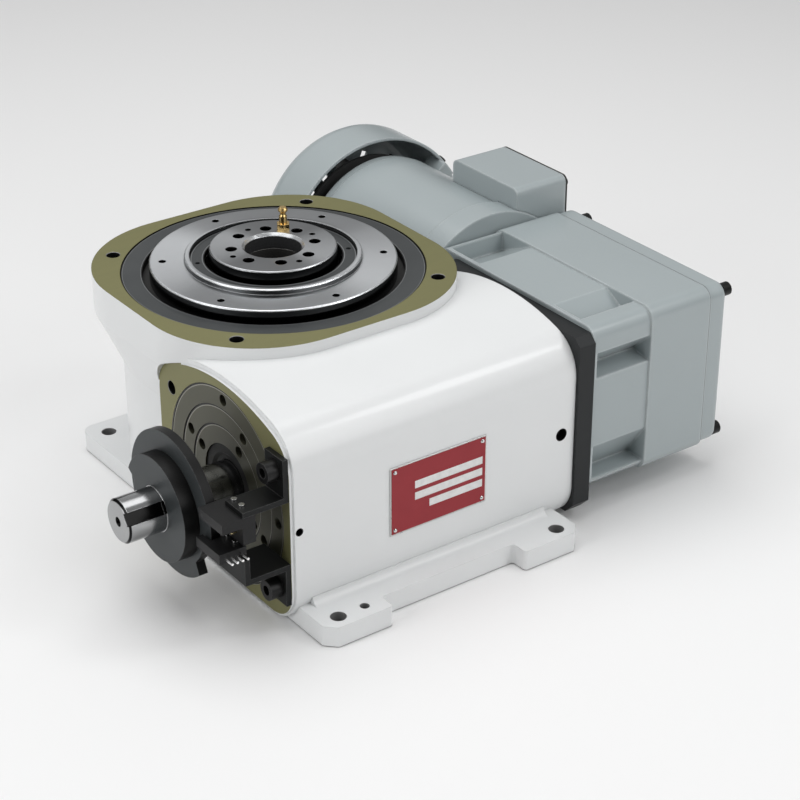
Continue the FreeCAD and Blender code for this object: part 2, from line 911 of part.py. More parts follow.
def key_block(half_width, floor_y, spare):
    start = adapter_face + 2 - spare
    end = shaft_tail - 4 + spare
    roof = shaft_y + shaft_radius + key_height - keyway_depth + spare
    return box(start, end, floor_y, roof, shaft_height - half_width, shaft_height + half_width)


def make_shaft_key():
    return key_block(keyway_width / 2, shaft_y + shaft_radius - keyway_depth, 0.0)


def screw_places(circle_radius, start):
    return [(shaft_y + u, shaft_height + v) for u, v in polar(4, circle_radius, start)]


def sunk_ring(outer, inner, x0, x1, places):
    """A ring of the shaft face with counterbored screw holes in its front."""
    holes = []
    for y, z in places:
        holes.append(cylinder_x(screw_hole_radius, x0, x0 + screw_sink + screw_head_height, y, z))
    return drill(shaft_ring(outer, inner, x0, x1), holes)


def make_front_carrier():
    start = -front_face + ring_set_back
    places = screw_places(outer_screw_circle, 0)
    return sunk_ring(carrier_radius, adjust_radius + seat_gap, start, -carrier_inner, places)


def make_front_adjust_ring():
    start = -front_face + 2 * ring_set_back
    places = screw_places(adjust_screw_circle, ring_screw_angle)
    return sunk_ring(adjust_radius, retainer_cap_radius + seat_gap, start, -carrier_inner, places)


def make_front_retainer():
    start = -front_face + 3 * ring_set_back
    places = screw_places(cap_screw_circle, ring_screw_angle)
    return sunk_ring(retainer_cap_radius, seal_radius + seat_gap, start, start + cap_thickness, places)


def make_front_ring_screws():
    screws = []
    rows = (
        (outer_screw_circle, 0, 1),
        (adjust_screw_circle, ring_screw_angle, 2),
        (cap_screw_circle, ring_screw_angle, 3),
    )
    for circle_radius, start, level in rows:
        seat = -front_face + level * ring_set_back + screw_sink + screw_head_height
        for y, z in screw_places(circle_radius, start):
            head = cylinder_x(screw_hole_radius - seat_gap, seat - screw_head_height, seat, y, z)
            recess_end = seat - screw_head_height * (1 - recess_share)
            recess = cylinder_x(screw_hole_radius / 2, seat - screw_head_height, recess_end, y, z)
            screws.append(head.cut(recess))
    return Part.makeCompound(screws)


def seal_ring(x0, x1):
    """A lip seal: outer case, inner lip that just clears the shaft, and a dished front."""
    lip = seat_radius + seal_lip
    profile = [
        (seat_radius + run_gap, x0 + seal_dish),
        (lip, x0 + seal_dish),
        (lip + seal_slope, x0),
        (seal_radius, x0),
        (seal_radius, x1),
        (seat_radius + run_gap, x1),
    ]
    return lathe(profile, V(0, shaft_y, shaft_height), X_AXIS, Y_AXIS)


def make_shaft_seals():
    start = -front_face + 3 * ring_set_back + 1
    front = seal_ring(start, start + cap_thickness - 1)
    rear = seal_ring(rear_face - cap_thickness, rear_face - 1)
    return Part.makeCompound([front, rear])


def front_bearing_span():
    start = -front_face + 3 * ring_set_back + cap_thickness
    return start, -carrier_inner


def rear_bearing_span():
    return rear_carrier_inner, rear_face - cap_thickness


def tapered_ring(outer, inner_wide, inner_narrow, wide_x, narrow_x):
    profile = [(inner_wide, wide_x), (outer, wide_x), (outer, narrow_x), (inner_narrow, narrow_x)]
    return lathe(profile, V(0, shaft_y, shaft_height), X_AXIS, Y_AXIS)


def make_cam_bearing_cups():
    front_start, front_end = front_bearing_span()
    rear_start, rear_end = rear_bearing_span()
    cups = [
        tapered_ring(retainer_cap_radius, cup_bore, cup_bore - cup_taper, front_end, front_start),
        tapered_ring(retainer_cap_radius, cup_bore, cup_bore - cup_taper, rear_start, rear_end),
    ]
    return Part.makeCompound(cups)


def make_cam_bearing_cones():
    """Inner rings with their tapered roller rows, which run just clear of the cups."""
    cones = []
    for wide_x, narrow_x in (front_bearing_span()[::-1], rear_bearing_span()):
        bore = seat_radius + seat_gap
        wide = cup_bore - run_gap
        narrow = cup_bore - cup_taper - run_gap
        profile = [(bore, wide_x), (wide, wide_x), (narrow, narrow_x), (bore, narrow_x)]
        cones.append(lathe(profile, V(0, shaft_y, shaft_height), X_AXIS, Y_AXIS))
    return Part.makeCompound(cones)


def make_rear_carrier():
    lip_start = rear_face - cap_thickness
    body = shaft_ring(carrier_radius, retainer_cap_radius + seat_gap, rear_carrier_inner, lip_start)
    lip = shaft_ring(carrier_radius, seal_radius + seat_gap, lip_start, rear_face)
    return body.fuse(lip).removeSplitter()


def notched_disc(radius, x0, x1, notch_start):
    """A timing disc whose rim is cut back over a sector that ends in a hooked edge."""
    disc = shaft_ring(radius, seat_radius + seat_gap, x0, x1)
    floor = radius - cam_notch_depth
    outer = radius + 1
    points = []
    for step in range(6):
        angle = math.radians(notch_start - cam_notch_sweep * step / 5)
        points.append((angle, floor))
    edges = [(points[0][0] + math.radians(4), outer)] + points + [(points[-1][0], outer)]
    far = [(points[-1][0] + (points[0][0] - points[-1][0]) * k / 5, outer * 1.1) for k in range(6)]
    outline = [V(x0, shaft_y + r * math.cos(a), shaft_height + r * math.sin(a)) for a, r in edges + far]
    notch = Part.Face(Part.makePolygon(outline + outline[:1])).extrude(V(x1 - x0, 0, 0))
    return disc.cut(notch)


def make_timing_cam_rear():
    start = -rear_cam_face
    return notched_disc(rear_cam_radius, start, start + rear_cam_thickness, cam_notch_start)


def make_timing_cam_front():
    start = -front_cam_face
    return notched_disc(front_cam_radius, start, -rear_cam_face, front_notch_start)


def bracket_place(side):
    """The bolt hole that a sensor bracket hangs on, above (1) or below (-1) the shaft."""
    return shaft_y - pad_hole_y, shaft_height + side * pad_hole_z


def arm_seat(side):
    """Height of the arm's face that carries the sensor."""
    return bracket_place(side)[1] - side * bracket_drop


def make_sensor_bracket(side):
    """An angle bracket: a foot on the shaft face and an arm along the shaft that carries a sensor."""
    hole_y, hole_z = bracket_place(side)
    half = bracket_width / 2
    arm_width = bracket_width if side > 0 else lower_arm_width
    tip = -front_face - bracket_reach
    ends = sorted((hole_z + side * half, arm_seat(side)))
    foot = box(-front_face - bracket_thickness, -front_face, hole_y - half, hole_y + half, *ends)
    faces = sorted((arm_seat(side), arm_seat(side) + side * bracket_thickness))
    arm = box(tip, -front_face, hole_y - half, hole_y - half + arm_width, *faces)
    shapes = [foot, arm]
    if side < 0:
        tab_ends = (hole_y - half, hole_y - half + arm_width, arm_seat(side), sensor_seat(side))
        shapes.append(box(tip, tip + bracket_thickness, *tab_ends))
    tools = [cylinder_x(pad_hole_radius, -front_face - bracket_thickness, -front_face, hole_y, hole_z)]
    tools += [sensor_screw_hole(side, place) for place in sensor_screw_places(side)]
    return drill(join(shapes), tools)


def make_bracket_bolts():
    bolts = []
    for side in (1, -1):
        y, z = bracket_place(side)
        base = V(-front_face - bracket_thickness, y, z)
        shank = bracket_thickness + pad_hole_depth - 3
        bolts.append(socket_screw(
            base, X_AXIS * -1, bracket_head_radius, bracket_head_height, pad_hole_radius - seat_gap, shank))
    return Part.makeCompound(bolts)


def sensor_seat(side):
    """Height of the face that a sensor is screwed to: under the upper arm, on the lower arm's tab."""
    return arm_seat(side) if side > 0 else arm_seat(side) + tab_height


def sensor_back(side):
    """The outer end of a sensor's body, along Y."""
    inset = sensor_inset if side > 0 else lower_sensor_inset
    return bracket_place(side)[0] - bracket_width / 2 + inset


def sensor_middle():
    """Both sensors straddle the rear timing cam."""
    return -rear_cam_face + rear_cam_thickness / 2


def sensor_case_start():
    """The front of the upper sensor's case, just behind the rear timing cam."""
    return -rear_cam_face + rear_cam_thickness + slot_gap


def make_sensor(side):
    """A slot sensor: a fork whose two prongs reach past the rear timing cam's rim. The upper one has a case."""
    middle = sensor_middle()
    back = sensor_back(side)
    front = back + sensor_length
    ends = sorted((sensor_seat(side), sensor_seat(side) - side * sensor_height))
    body = box(middle - sensor_width / 2, middle + sensor_width / 2, back, front, *ends)
    if side > 0:
        start = sensor_case_start()
        low = sensor_seat(side) - sensor_case_height
        body = join([body, box(start, start + sensor_case_width, back, front, low, sensor_seat(side))])
    slot = rear_cam_thickness / 2 + slot_gap
    tools = [on_shaft(rear_cam_radius + slot_gap, middle - slot, middle + slot)]
    tools += [sensor_screw_hole(side, place) for place in sensor_screw_places(side)]
    return drill(body, tools)


def sensor_screw_places(side):
    """The two screws of a sensor: down through the upper arm, or down through the fork into the tab."""
    start = sensor_case_start()
    x = start + sensor_case_width / 2 if side > 0 else start + bracket_thickness / 2
    first = sensor_back(side) + sensor_screw_inset
    return [(x, first), (x, first + sensor_screw_pitch)]


def sensor_screw_span(side):
    """Heights of a sensor screw's tip and of the face under its head."""
    if side > 0:
        return sensor_seat(side) - sensor_screw_depth, sensor_seat(side) + bracket_thickness
    return sensor_seat(side) - sensor_screw_depth, sensor_seat(side) + sensor_height


def sensor_screw_hole(side, place):
    tip, seat = sensor_screw_span(side)
    return cylinder_z(sensor_screw_radius + seat_gap, tip - seat_gap, seat, *place)


def make_sensor_screws():
    screws = []
    for side in (1, -1):
        tip, seat = sensor_screw_span(side)
        for x, y in sensor_screw_places(side):
            head = cylinder_z(sensor_screw_head, seat, seat + sensor_screw_radius, x, y)
            screws.append(head.fuse(cylinder_z(sensor_screw_radius, tip, seat, x, y)).removeSplitter())
    return Part.makeCompound(screws)


def make_sensor_pins():
    """Contacts in a row: out of the upper sensor's case along the shaft, out of the lower fork's back."""
    pins = []
    high = sensor_seat(1) - (sensor_case_height + sensor_height) / 2
    low = sensor_seat(-1) + sensor_height / 2
    start = sensor_case_start()
    for i in range(pin_count):
        y = sensor_back(1) + sensor_screw_inset + i * pin_pitch
        pins.append(cylinder_x(pin_radius, start - contact_length, start, y, high))
        x = sensor_middle() + (i - (pin_count - 1) / 2) * pin_pitch
        pins.append(cylinder_y(pin_radius, sensor_back(-1) - pin_length, sensor_back(-1), x, low))
    return Part.makeCompound(pins)


def make_nameplate():
    left = plate_shift - plate_width / 2
    low = plate_lift - plate_height / 2
    corners = rectangle(left, left + plate_width, low, low + plate_height, 1.0)
    return plate_y(corners, side_y - plate_thickness, side_y)


def make_nameplate_rivets():
    rivets = []
    for u in (-1, 1):
        for v in (-1, 1):
            x = plate_shift + u * (plate_width / 2 - rivet_inset)
            z = plate_lift + v * (plate_height / 2 - rivet_inset)
            profile = [(0, 0), (rivet_radius, 0), (rivet_radius / 2, rivet_height), (0, rivet_height)]
            rivets.append(lathe(profile, V(x, side_y - plate_thickness, z), Y_AXIS * -1, X_AXIS))
    return Part.makeCompound(rivets)


def adapter_corners():
    front = shaft_y - adapter_half
    back = shaft_y + adapter_half
    return [
        (front, adapter_bottom + adapter_foot_chamfer, adapter_edge),
        (front + adapter_foot_chamfer, adapter_bottom, adapter_edge),
        (back, adapter_bottom, adapter_corner),
        (back, adapter_top, adapter_corner),
        (front + adapter_chamfer, adapter_top, adapter_edge),
        (front, adapter_top - adapter_chamfer, adapter_edge),
    ]


def make_adapter_plate():
    plate = plate_x(adapter_corners(), rear_face, adapter_face)
    tools = [on_shaft(socket_radius + 4, rear_face, adapter_face)]
    for y, z in adapter_bolt_places():
        tools.append(cylinder_x(bolt_radius + seat_gap, rear_face, adapter_face, y, z))
        seat = adapter_face - bolt_head_height - head_clearance
        tools.append(cylinder_x(bolt_head_radius + head_clearance, seat, adapter_face, y, z))
    for y, z in case_bolt_places():
        tools.append(cylinder_x(bolt_radius + seat_gap, adapter_face - bolt_grip - 1, adapter_face, y, z))
    return drill(plate, tools)


def make_adapter_bolts():
    bolts = []
    for y, z in adapter_bolt_places():
        base = V(adapter_face - bolt_head_height - head_clearance, y, z)
        shank = adapter_thickness - bolt_head_height - head_clearance + bolt_grip
        bolts.append(socket_screw(base, X_AXIS, bolt_head_radius, bolt_head_height, bolt_radius, shank))
    return Part.makeCompound(bolts)


def case_bolt_places():
    """Bolts that hold the gear case on the adapter plate, in the corners of the gear chamber."""
    places = []
    for y in (-case_cavity_front + case_bolt_inset, -case_end - case_wall - case_bolt_inset):
        for z in (case_floor + case_bolt_inset, case_roof - case_bolt_inset):
            places.append((y, z))
    return places


def scoop(points):
    """A wedge-shaped hollow in the left part of the gear case, from its outline in YZ."""
    outline = [V(adapter_face + scoop_flange, y, z) for y, z in points]
    return Part.Face(Part.makePolygon(outline + outline[:1])).extrude(V(case_step_x - scoop_flange, 0, 0))


def case_scoops():
    """Two hollows in the front face, deepest at their floors, and two in the top, deepest at its edges."""
    outside = -case_front
    scoops = []
    for (low, high), slope in ((upper_scoop, upper_scoop_slope), (lower_scoop, lower_scoop_slope)):
        scoops.append(scoop([(outside, low), (outside + side_scoop_depth, low + slope), (outside, high)]))
    for (flush, deep), depth in ((front_scoop, front_scoop_depth), (rear_scoop, rear_scoop_depth)):
        scoops.append(scoop([(flush, case_top), (deep, case_top), (deep, case_top - depth)]))
    return scoops


def case_outline(inset):
    return rectangle(-case_front + inset, -case_end, case_bottom + inset, case_top - inset, case_corner)


def gear_bearing_places():
    """Each gear shaft bearing as (radius of its journal, y, z)."""
    return [(journal_radius, shaft_y, shaft_height), (counter_radius, counter_y, motor_z)]


def make_gear_case():
    near = plate_x(case_outline(case_step), adapter_face, adapter_face + case_step_x)
    far = plate_x(case_outline(0), adapter_face + case_step_x, case_right)
    case = near.fuse(far)
    inner = rectangle(-case_cavity_front, -case_end - case_wall, case_floor, case_roof, case_corner)
    tools = [plate_x(inner, adapter_face + case_left_wall, case_right)]
    tools += case_scoops()
    tools.append(on_shaft(socket_radius + run_gap, adapter_face, adapter_face + case_left_wall))
    start, end = left_bearing_span()
    tools.append(cylinder_x(counter_radius + bearing_ring + seat_gap, start, end, counter_y, motor_z))
    motor_bore = rotor_radius + rotor_bearing + seat_gap
    tools.append(cylinder_y(motor_bore, -case_end - case_wall, -case_end, motor_x, motor_z))
    for y, z in case_bolt_places():
        tools.append(cylinder_x(bolt_radius + seat_gap, adapter_face, adapter_face + case_left_wall, y, z))
    for y, z in cover_bolt_places():
        tools.append(cylinder_x(bolt_radius + seat_gap, case_right - bolt_grip - 1, case_right, y, z))
    return drill(case, tools)


def left_bearing_span():
    return adapter_face + case_left_wall - left_bearing_width, adapter_face + case_left_wall


def cover_bearing_span():
    return case_right, case_right + cover_thickness - 5


def cover_bolt_places():
    places = []
    for y in (-case_front + case_wall + 1, -case_end - 2 * case_wall):
        for z in (case_bottom + case_wall, case_top - case_wall - 1):
            places.append((y, z))
    return places


def make_gear_case_cover():
    cover = plate_x(case_outline(cover_inset), case_right, case_right + cover_thickness)
    edges = [edge for edge in cover.Edges if edge.BoundBox.XMin > case_right + cover_thickness / 2]
    cover = cover.makeFillet(cover_corner, edges)
    start, end = cover_bearing_span()
    tools = []
    for radius, y, z in gear_bearing_places():
        tools.append(cylinder_x(radius + bearing_ring + seat_gap, start, end, y, z))
    for y, z in cover_bolt_places():
        tools.append(cylinder_x(bolt_radius + seat_gap, case_right, case_right + cover_thickness, y, z))
    return drill(cover, tools)


def make_gear_case_bolts():
    bolts = []
    for y, z in cover_bolt_places():
        base = V(case_right + cover_thickness, y, z)
        shank = cover_thickness + bolt_grip
        bolts.append(socket_screw(base, X_AXIS, bolt_head_radius, bolt_head_height, bolt_radius, shank))
    for y, z in case_bolt_places():
        base = V(adapter_face + case_left_wall, y, z)
        shank = case_left_wall + bolt_grip
        bolts.append(socket_screw(base, X_AXIS, bolt_head_radius, bolt_head_height, bolt_radius, shank))
    return Part.makeCompound(bolts)


def make_gear_motor_bearings():
    """Plain rings that stand for the gear head's and the motor's rolling bearings."""
    rings = []
    start, end = cover_bearing_span()
    for radius, y, z in gear_bearing_places():
        outer = cylinder_x(radius + bearing_ring, start, end, y, z)
        rings.append(outer.cut(cylinder_x(radius + fit_gap, start, end, y, z)))
    start, end = left_bearing_span()
    outer = cylinder_x(counter_radius + bearing_ring, start, end, counter_y, motor_z)
    rings.append(outer.cut(cylinder_x(counter_radius + fit_gap, start, end, counter_y, motor_z)))
    outer_radius = rotor_radius + rotor_bearing
    rings.append(motor_ring(outer_radius, rotor_radius + fit_gap, -case_end - case_wall, -case_end))
    rings.append(motor_ring(outer_radius, rotor_radius + fit_gap, frame_end, frame_end + shield_thickness))
    return Part.makeCompound(rings)


def tooth_outline(teeth, module, place, phase):
    """A gear outline of straight-flanked teeth, thinned for backlash."""
    step = 2 * math.pi / teeth
    tip = module * (teeth / 2 + tooth_height)
    floor = module * (teeth / 2 - tooth_depth)
    points = []
    for i in range(teeth):
        middle = i * step + phase
        for radius, share in ((floor, -0.31), (tip, -0.10), (tip, 0.10), (floor, 0.31)):
            angle = middle + share * step
            points.append(place(radius * math.cos(angle), radius * math.sin(angle)))
    return Part.Face(Part.makePolygon(points + points[:1]))


def spur_gear(teeth, y, z, x0, x1, phase):
    face = tooth_outline(teeth, spur_module, lambda u, v: V(x0, y + u, z + v), phase)
    return face.extrude(V(x1 - x0, 0, 0))


def spur_span():
    start = adapter_face + case_left_wall + 2
    return start, start + spur_width


def mesh_angle():
    return math.atan2(counter_rise, counter_y - shaft_y)


def make_output_gear():
    start, end = spur_span()
    gear = spur_gear(output_teeth, shaft_y, shaft_height, start, end, mesh_angle())
    return gear.cut(on_shaft(socket_radius + seat_gap, start, end))


def make_gear_output_shaft():
    """The hollow output shaft of the gear head, which takes the tail of the input shaft."""
    start = adapter_face
    waist = shaft_tail + 2
    socket = on_shaft(socket_radius, start, waist)
    stub = on_shaft(journal_radius, waist, cover_bearing_span()[1] - 1)
    shaft = socket.fuse(stub)
    key_slot = key_block(keyway_width / 2 + seat_gap, shaft_y, seat_gap)
    bore = on_shaft(shaft_radius + seat_gap, start, shaft_tail + head_clearance)
    return drill(shaft, [bore, key_slot]).removeSplitter()


def make_counter_shaft():
    start, end = spur_span()
    phase = mesh_angle() + math.pi + math.pi / pinion_teeth
    pinion = spur_gear(pinion_teeth, counter_y, motor_z, start, end, phase)
    shaft_start = left_bearing_span()[0] + 1
    shaft_end = cover_bearing_span()[1] - 1
    shaft = cylinder_x(counter_radius, shaft_start, shaft_end, counter_y, motor_z)
    return shaft.fuse(pinion).removeSplitter()


def make_crown_gear():
    """A face gear: a disc with a ring of straight radial teeth that the motor pinion drives."""
    inner = crown_pitch - crown_face / 2
    outer = crown_pitch + crown_face / 2
    root_x = motor_x - motor_pitch - tooth_depth * crown_module
    tip_x = motor_x - motor_pitch + tooth_height * crown_module
    disc = cylinder_x(outer, root_x - crown_thickness, root_x, counter_y, motor_z)
    pitch = crown_module * math.pi
    teeth = []
    for i in range(crown_teeth):
        angle = 2 * math.pi * (i + 0.5) / crown_teeth
        out = V(0, math.cos(angle), math.sin(angle))
        across = V(0, -math.sin(angle), math.cos(angle))
        centre = V(0, counter_y, motor_z)
        profile = []
        for x, share in ((root_x - 0.5, -0.26), (tip_x, -0.08), (tip_x, 0.08), (root_x - 0.5, 0.26)):
            profile.append(centre + V(x, 0, 0) + out * inner + across * (share * pitch))
        teeth.append(Part.Face(Part.makePolygon(profile + profile[:1])).extrude(out * (crown_face - 0.4)))
    gear = disc.fuse(teeth)
    bore = cylinder_x(counter_radius + seat_gap, root_x - crown_thickness, root_x, counter_y, motor_z)
    return gear.cut(bore)


def make_rotor_shaft():
    """The motor shaft with its pinion cut on the drive end and a seat for the fan at the other."""
    inner = counter_y + crown_pitch - crown_face / 2 - 1
    outer = counter_y + crown_pitch + crown_face / 2 + 1
    face = tooth_outline(motor_teeth, crown_module, lambda u, v: V(motor_x - u, inner, motor_z + v), 0.0)
    pinion = face.extrude(V(0, outer - inner, 0))
    shaft = cylinder_y(rotor_radius, outer, fan_start + fan_width, motor_x, motor_z)
    return pinion.fuse(shaft).removeSplitter()


def make_rotor_core():
    return motor_ring(stator_bore - air_gap, rotor_radius + seat_gap, stator_start, stator_end)


def make_stator_core():
    return motor_ring(frame_radius - frame_wall - seat_gap, stator_bore, stator_start, stator_end)


def make_stator_windings():
    """The end turns of the winding, a rounded ring at each end of the stator."""
    rings = []
    inner = stator_bore + 4
    outer = frame_radius - frame_wall - 5
    for end, way in ((stator_start, -1), (stator_end, 1)):
        profile = [
            (inner, 0), (outer, 0), (outer, winding_overhang - 4), (outer - 4, winding_overhang),
            (inner + 4, winding_overhang), (inner, winding_overhang - 4),
        ]
        rings.append(lathe(profile, V(motor_x, end, motor_z), Y_AXIS * way, X_AXIS))
    return Part.makeCompound(rings)


def make_motor_frame():
    """The motor's cast frame: a smooth barrel with a flange against the gear case."""
    bore = frame_radius - frame_wall
    start = -case_end
    profile = [
        (rotor_radius + 3, start),
        (flange_radius, start),
        (flange_radius, start + flange_width),
        (flange_radius - 2, start + flange_width + 2),
        (frame_radius, start + flange_width + 2),
        (frame_radius, frame_end),
        (bore, frame_end),
        (bore, start + frame_wall),
        (rotor_radius + 3, start + frame_wall),
    ]
    return lathe(profile, V(motor_x, 0, motor_z), Y_AXIS, X_AXIS)


def lug_angles():
    return [lug_angle + 360.0 * i / lug_count for i in range(lug_count)]


def make_motor_end_shield():
    """The rear end shield, with a bearing seat and the lugs that hold the fan cover."""
    start = frame_end
    end = frame_end + shield_thickness
    disc = motor_ring(frame_radius - 1, rotor_radius + rotor_bearing + seat_gap, start, end)
    bore = cylinder_y(hood_radius - hood_wall - seat_gap, start, hood_start + lug_overlap, motor_x, motor_z)
    lugs = []
    for angle in lug_angles():
        out, across = motor_directions(angle)
        corner = V(motor_x, start, motor_z) + out * (frame_radius - frame_wall) - across * (lug_width / 2)
        along = V(0, hood_start - start + lug_overlap, 0)
        lugs.append(bar(corner, across * lug_width, along, out * hood_radius).common(bore))
    shield = disc.fuse(lugs).removeSplitter()
    return drill(shield, [screw_hole(angle) for angle in lug_angles()])


def motor_directions(angle):
    """Unit vectors away from the motor's axis and across, at an angle in its XZ plane."""
    turn = math.radians(angle)
    return V(math.cos(turn), 0, math.sin(turn)), V(-math.sin(turn), 0, math.cos(turn))


def make_fan_cover():
    """The fan hood: a turned shell with a rounded back, a ring of air slots and a middle disc."""
    inner = hood_radius - hood_wall
    back = hood_end
    steps = 5
    outer_arc = []
    inner_arc = []
    for i in range(steps + 1):
        turn = math.radians(90.0 * i / steps)
        outer_arc.append((hood_radius - hood_corner + hood_corner * math.cos(turn),
                          back - hood_corner + hood_corner * math.sin(turn)))
        small = hood_corner - hood_wall
        inner_arc.append((hood_radius - hood_corner + small * math.cos(turn),
                          back - hood_corner + small * math.sin(turn)))
    profile = [(hood_radius, hood_start)] + outer_arc + [(0, back), (0, back - hood_wall)]
    profile += inner_arc[::-1] + [(inner, hood_start)]
    hood = lathe(profile, V(motor_x, 0, motor_z), Y_AXIS, X_AXIS)
    slots = []
    for i in range(slot_count):
        out, across = motor_directions(360.0 * i / slot_count)
        corner = V(motor_x, back - hood_wall - 1, motor_z) + out * slot_start - across * (slot_width / 2)
        slots.append(bar(corner, across * slot_width, out * slot_length, V(0, hood_wall + 2, 0)))
    return drill(hood, slots + [screw_hole(angle) for angle in lug_angles()])


def lug_point(angle, radius):
    """A point on a fan cover screw's axis."""
    return V(motor_x, hood_start + lug_overlap / 2, motor_z) + motor_directions(angle)[0] * radius


def screw_hole(angle):
    start = frame_radius
    length = hood_radius + 1 - start
    out = motor_directions(angle)[0]
    return Part.makeCylinder(small_screw_radius + seat_gap, length, lug_point(angle, start), out)


def make_cooling_fan():
    """A radial fan: a hub, a backing disc and straight blades."""
    start = fan_start
    hub_outer = rotor_radius + rotor_bearing
    hub = motor_ring(hub_outer, rotor_radius + seat_gap, start, start + fan_width)
    disc = motor_ring(fan_radius, hub_outer - fan_sheet, start, start + fan_sheet)
    blades = []
    for i in range(fan_blades):
        out, across = motor_directions(360.0 * i / fan_blades)
        corner = V(motor_x, start, motor_z) + out * (hub_outer - fan_sheet) - across * (fan_sheet / 2)
        length = fan_radius - hub_outer + fan_sheet
        blades.append(bar(corner, across * fan_sheet, out * length, V(0, fan_width, 0)))
    return hub.fuse([disc] + blades).removeSplitter()


def terminal_outline(inset, radius):
    return rectangle(
        -terminal_front + inset, -terminal_front + terminal_length - inset,
        terminal_bottom + inset, terminal_top - inset, radius)


def make_terminal_box():
    """The terminal box, saddled on the motor frame and open towards its lid."""
    block = plate_x(terminal_outline(0, terminal_corner), terminal_left, terminal_right)
    inside = plate_x(
        terminal_outline(terminal_wall, terminal_corner - terminal_wall),
        terminal_left + terminal_wall, terminal_right)
    saddle = cylinder_y(frame_radius + seat_gap, -case_end, hood_start, motor_x, motor_z)
    rim = cylinder_y(flange_radius + seat_gap, -case_end, -case_end + flange_width + 2, motor_x, motor_z)
    barrel = cylinder_y(frame_radius + terminal_wall, -case_end, hood_start, motor_x, motor_z)
    hollow = inside.cut(barrel)
    return drill(block, [hollow, saddle, rim])


def make_terminal_gasket():
    start = terminal_right
    ring = plate_x(terminal_outline(0, terminal_corner), start, start + gasket_thickness)
    return ring.cut(plate_x(terminal_outline(terminal_wall, 2), start, start + gasket_thickness))


def make_terminal_lid():
    start = terminal_right + gasket_thickness
    return plate_x(terminal_outline(lid_inset, terminal_corner - lid_inset), start, start + lid_thickness)


def make_motor_screws():
    """Small pan-head screws of the terminal lid and the fan cover."""
    screws = []
    lid = terminal_right + gasket_thickness + lid_thickness
    back = -terminal_front + terminal_length
    for y in (-terminal_front + lid_screw_inset, back - lid_screw_inset):
        for z in (terminal_bottom + lid_screw_inset, terminal_top - lid_screw_inset):
            screws.append(cylinder_x(small_head_radius, lid, lid + small_head_height, y, z))
    for angle in lug_angles():
        out = motor_directions(angle)[0]
        head = Part.makeCylinder(small_head_radius, small_head_height, lug_point(angle, hood_radius), out)
        shank_start = lug_point(angle, frame_radius + 1)
        shank = Part.makeCylinder(small_screw_radius, hood_radius - frame_radius, shank_start, out)
        screws.append(head.fuse(shank).removeSplitter())
    return Part.makeCompound(screws)


PIECES = {
    "housing": make_housing,
    "bottom_cover": make_bottom_cover,
    "bearing_cover_ring": make_bearing_cover_ring,
    "output_seal": make_output_seal,
    "output_bearing_outer_race": make_outer_race,
    "output_bearing_inner_race": make_inner_race,
    "output_table": make_output_table,
    "inner_retainer": make_inner_retainer,
    "turret": make_turret,
    "follower_studs": make_follower_studs,
    "follower_rollers": make_follower_rollers,
    "center_post": make_center_post,
    "center_hub": make_center_hub,
    "grease_nipple": make_grease_nipple,
    "roller_gear_cam": make_roller_gear_cam,
    "input_shaft": make_input_shaft,
    "shaft_key": make_shaft_key,
    "front_carrier": make_front_carrier,
    "front_adjust_ring": make_front_adjust_ring,
    "front_retainer": make_front_retainer,
    "front_ring_screws": make_front_ring_screws,
    "shaft_seals": make_shaft_seals,
    "cam_bearing_cups": make_cam_bearing_cups,
    "cam_bearing_cones": make_cam_bearing_cones,
    "rear_carrier": make_rear_carrier,
    "timing_cam_rear": make_timing_cam_rear,
    "timing_cam_front": make_timing_cam_front,
    "sensor_bracket_upper": lambda: make_sensor_bracket(1),
    "sensor_bracket_lower": lambda: make_sensor_bracket(-1),
    "sensor_bracket_bolts": make_bracket_bolts,
    "sensor_upper": lambda: make_sensor(1),
    "sensor_lower": lambda: make_sensor(-1),
    "sensor_pins": make_sensor_pins,
    "sensor_screws": make_sensor_screws,
    "nameplate": make_nameplate,
    "nameplate_rivets": make_nameplate_rivets,
    "adapter_plate": make_adapter_plate,
    "adapter_bolts": make_adapter_bolts,
    "gear_case": make_gear_case,
    "gear_case_cover": make_gear_case_cover,
    "gear_case_bolts": make_gear_case_bolts,
    "gear_motor_bearings": make_gear_motor_bearings,
    "gear_output_shaft": make_gear_output_shaft,
    "output_gear": make_output_gear,
    "counter_shaft": make_counter_shaft,
    "crown_gear": make_crown_gear,
    "rotor_shaft": make_rotor_shaft,
    "rotor_core": make_rotor_core,
    "stator_core": make_stator_core,
    "stator_windings": make_stator_windings,
    "motor_frame": make_motor_frame,
    "motor_end_shield": make_motor_end_shield,
    "fan_cover": make_fan_cover,
    "cooling_fan": make_cooling_fan,
    "terminal_box": make_terminal_box,
    "terminal_gasket": make_terminal_gasket,
    "terminal_lid": make_terminal_lid,
    "motor_screws": make_motor_screws,
    "bottom_cover_screws": make_bottom_cover_screws,
}

os.makedirs("parts", exist_ok=True)
for name, make in PIECES.items():
    make().exportStep("parts/" + name + ".step")
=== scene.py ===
# %% [markdown]
# # A rotary index drive
# The machine turns a table in equal steps. A white casting holds a cam and a turret, a grey gear motor
# drives the cam from the right, and a bare shaft end with timing cams sticks out on the left.
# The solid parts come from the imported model, already in place. This lesson gives them light, a camera
# and finishes, and models the few pieces whose small detail is easier to shape here.

import math

import bmesh
import bpy
from mathutils import Matrix, Vector


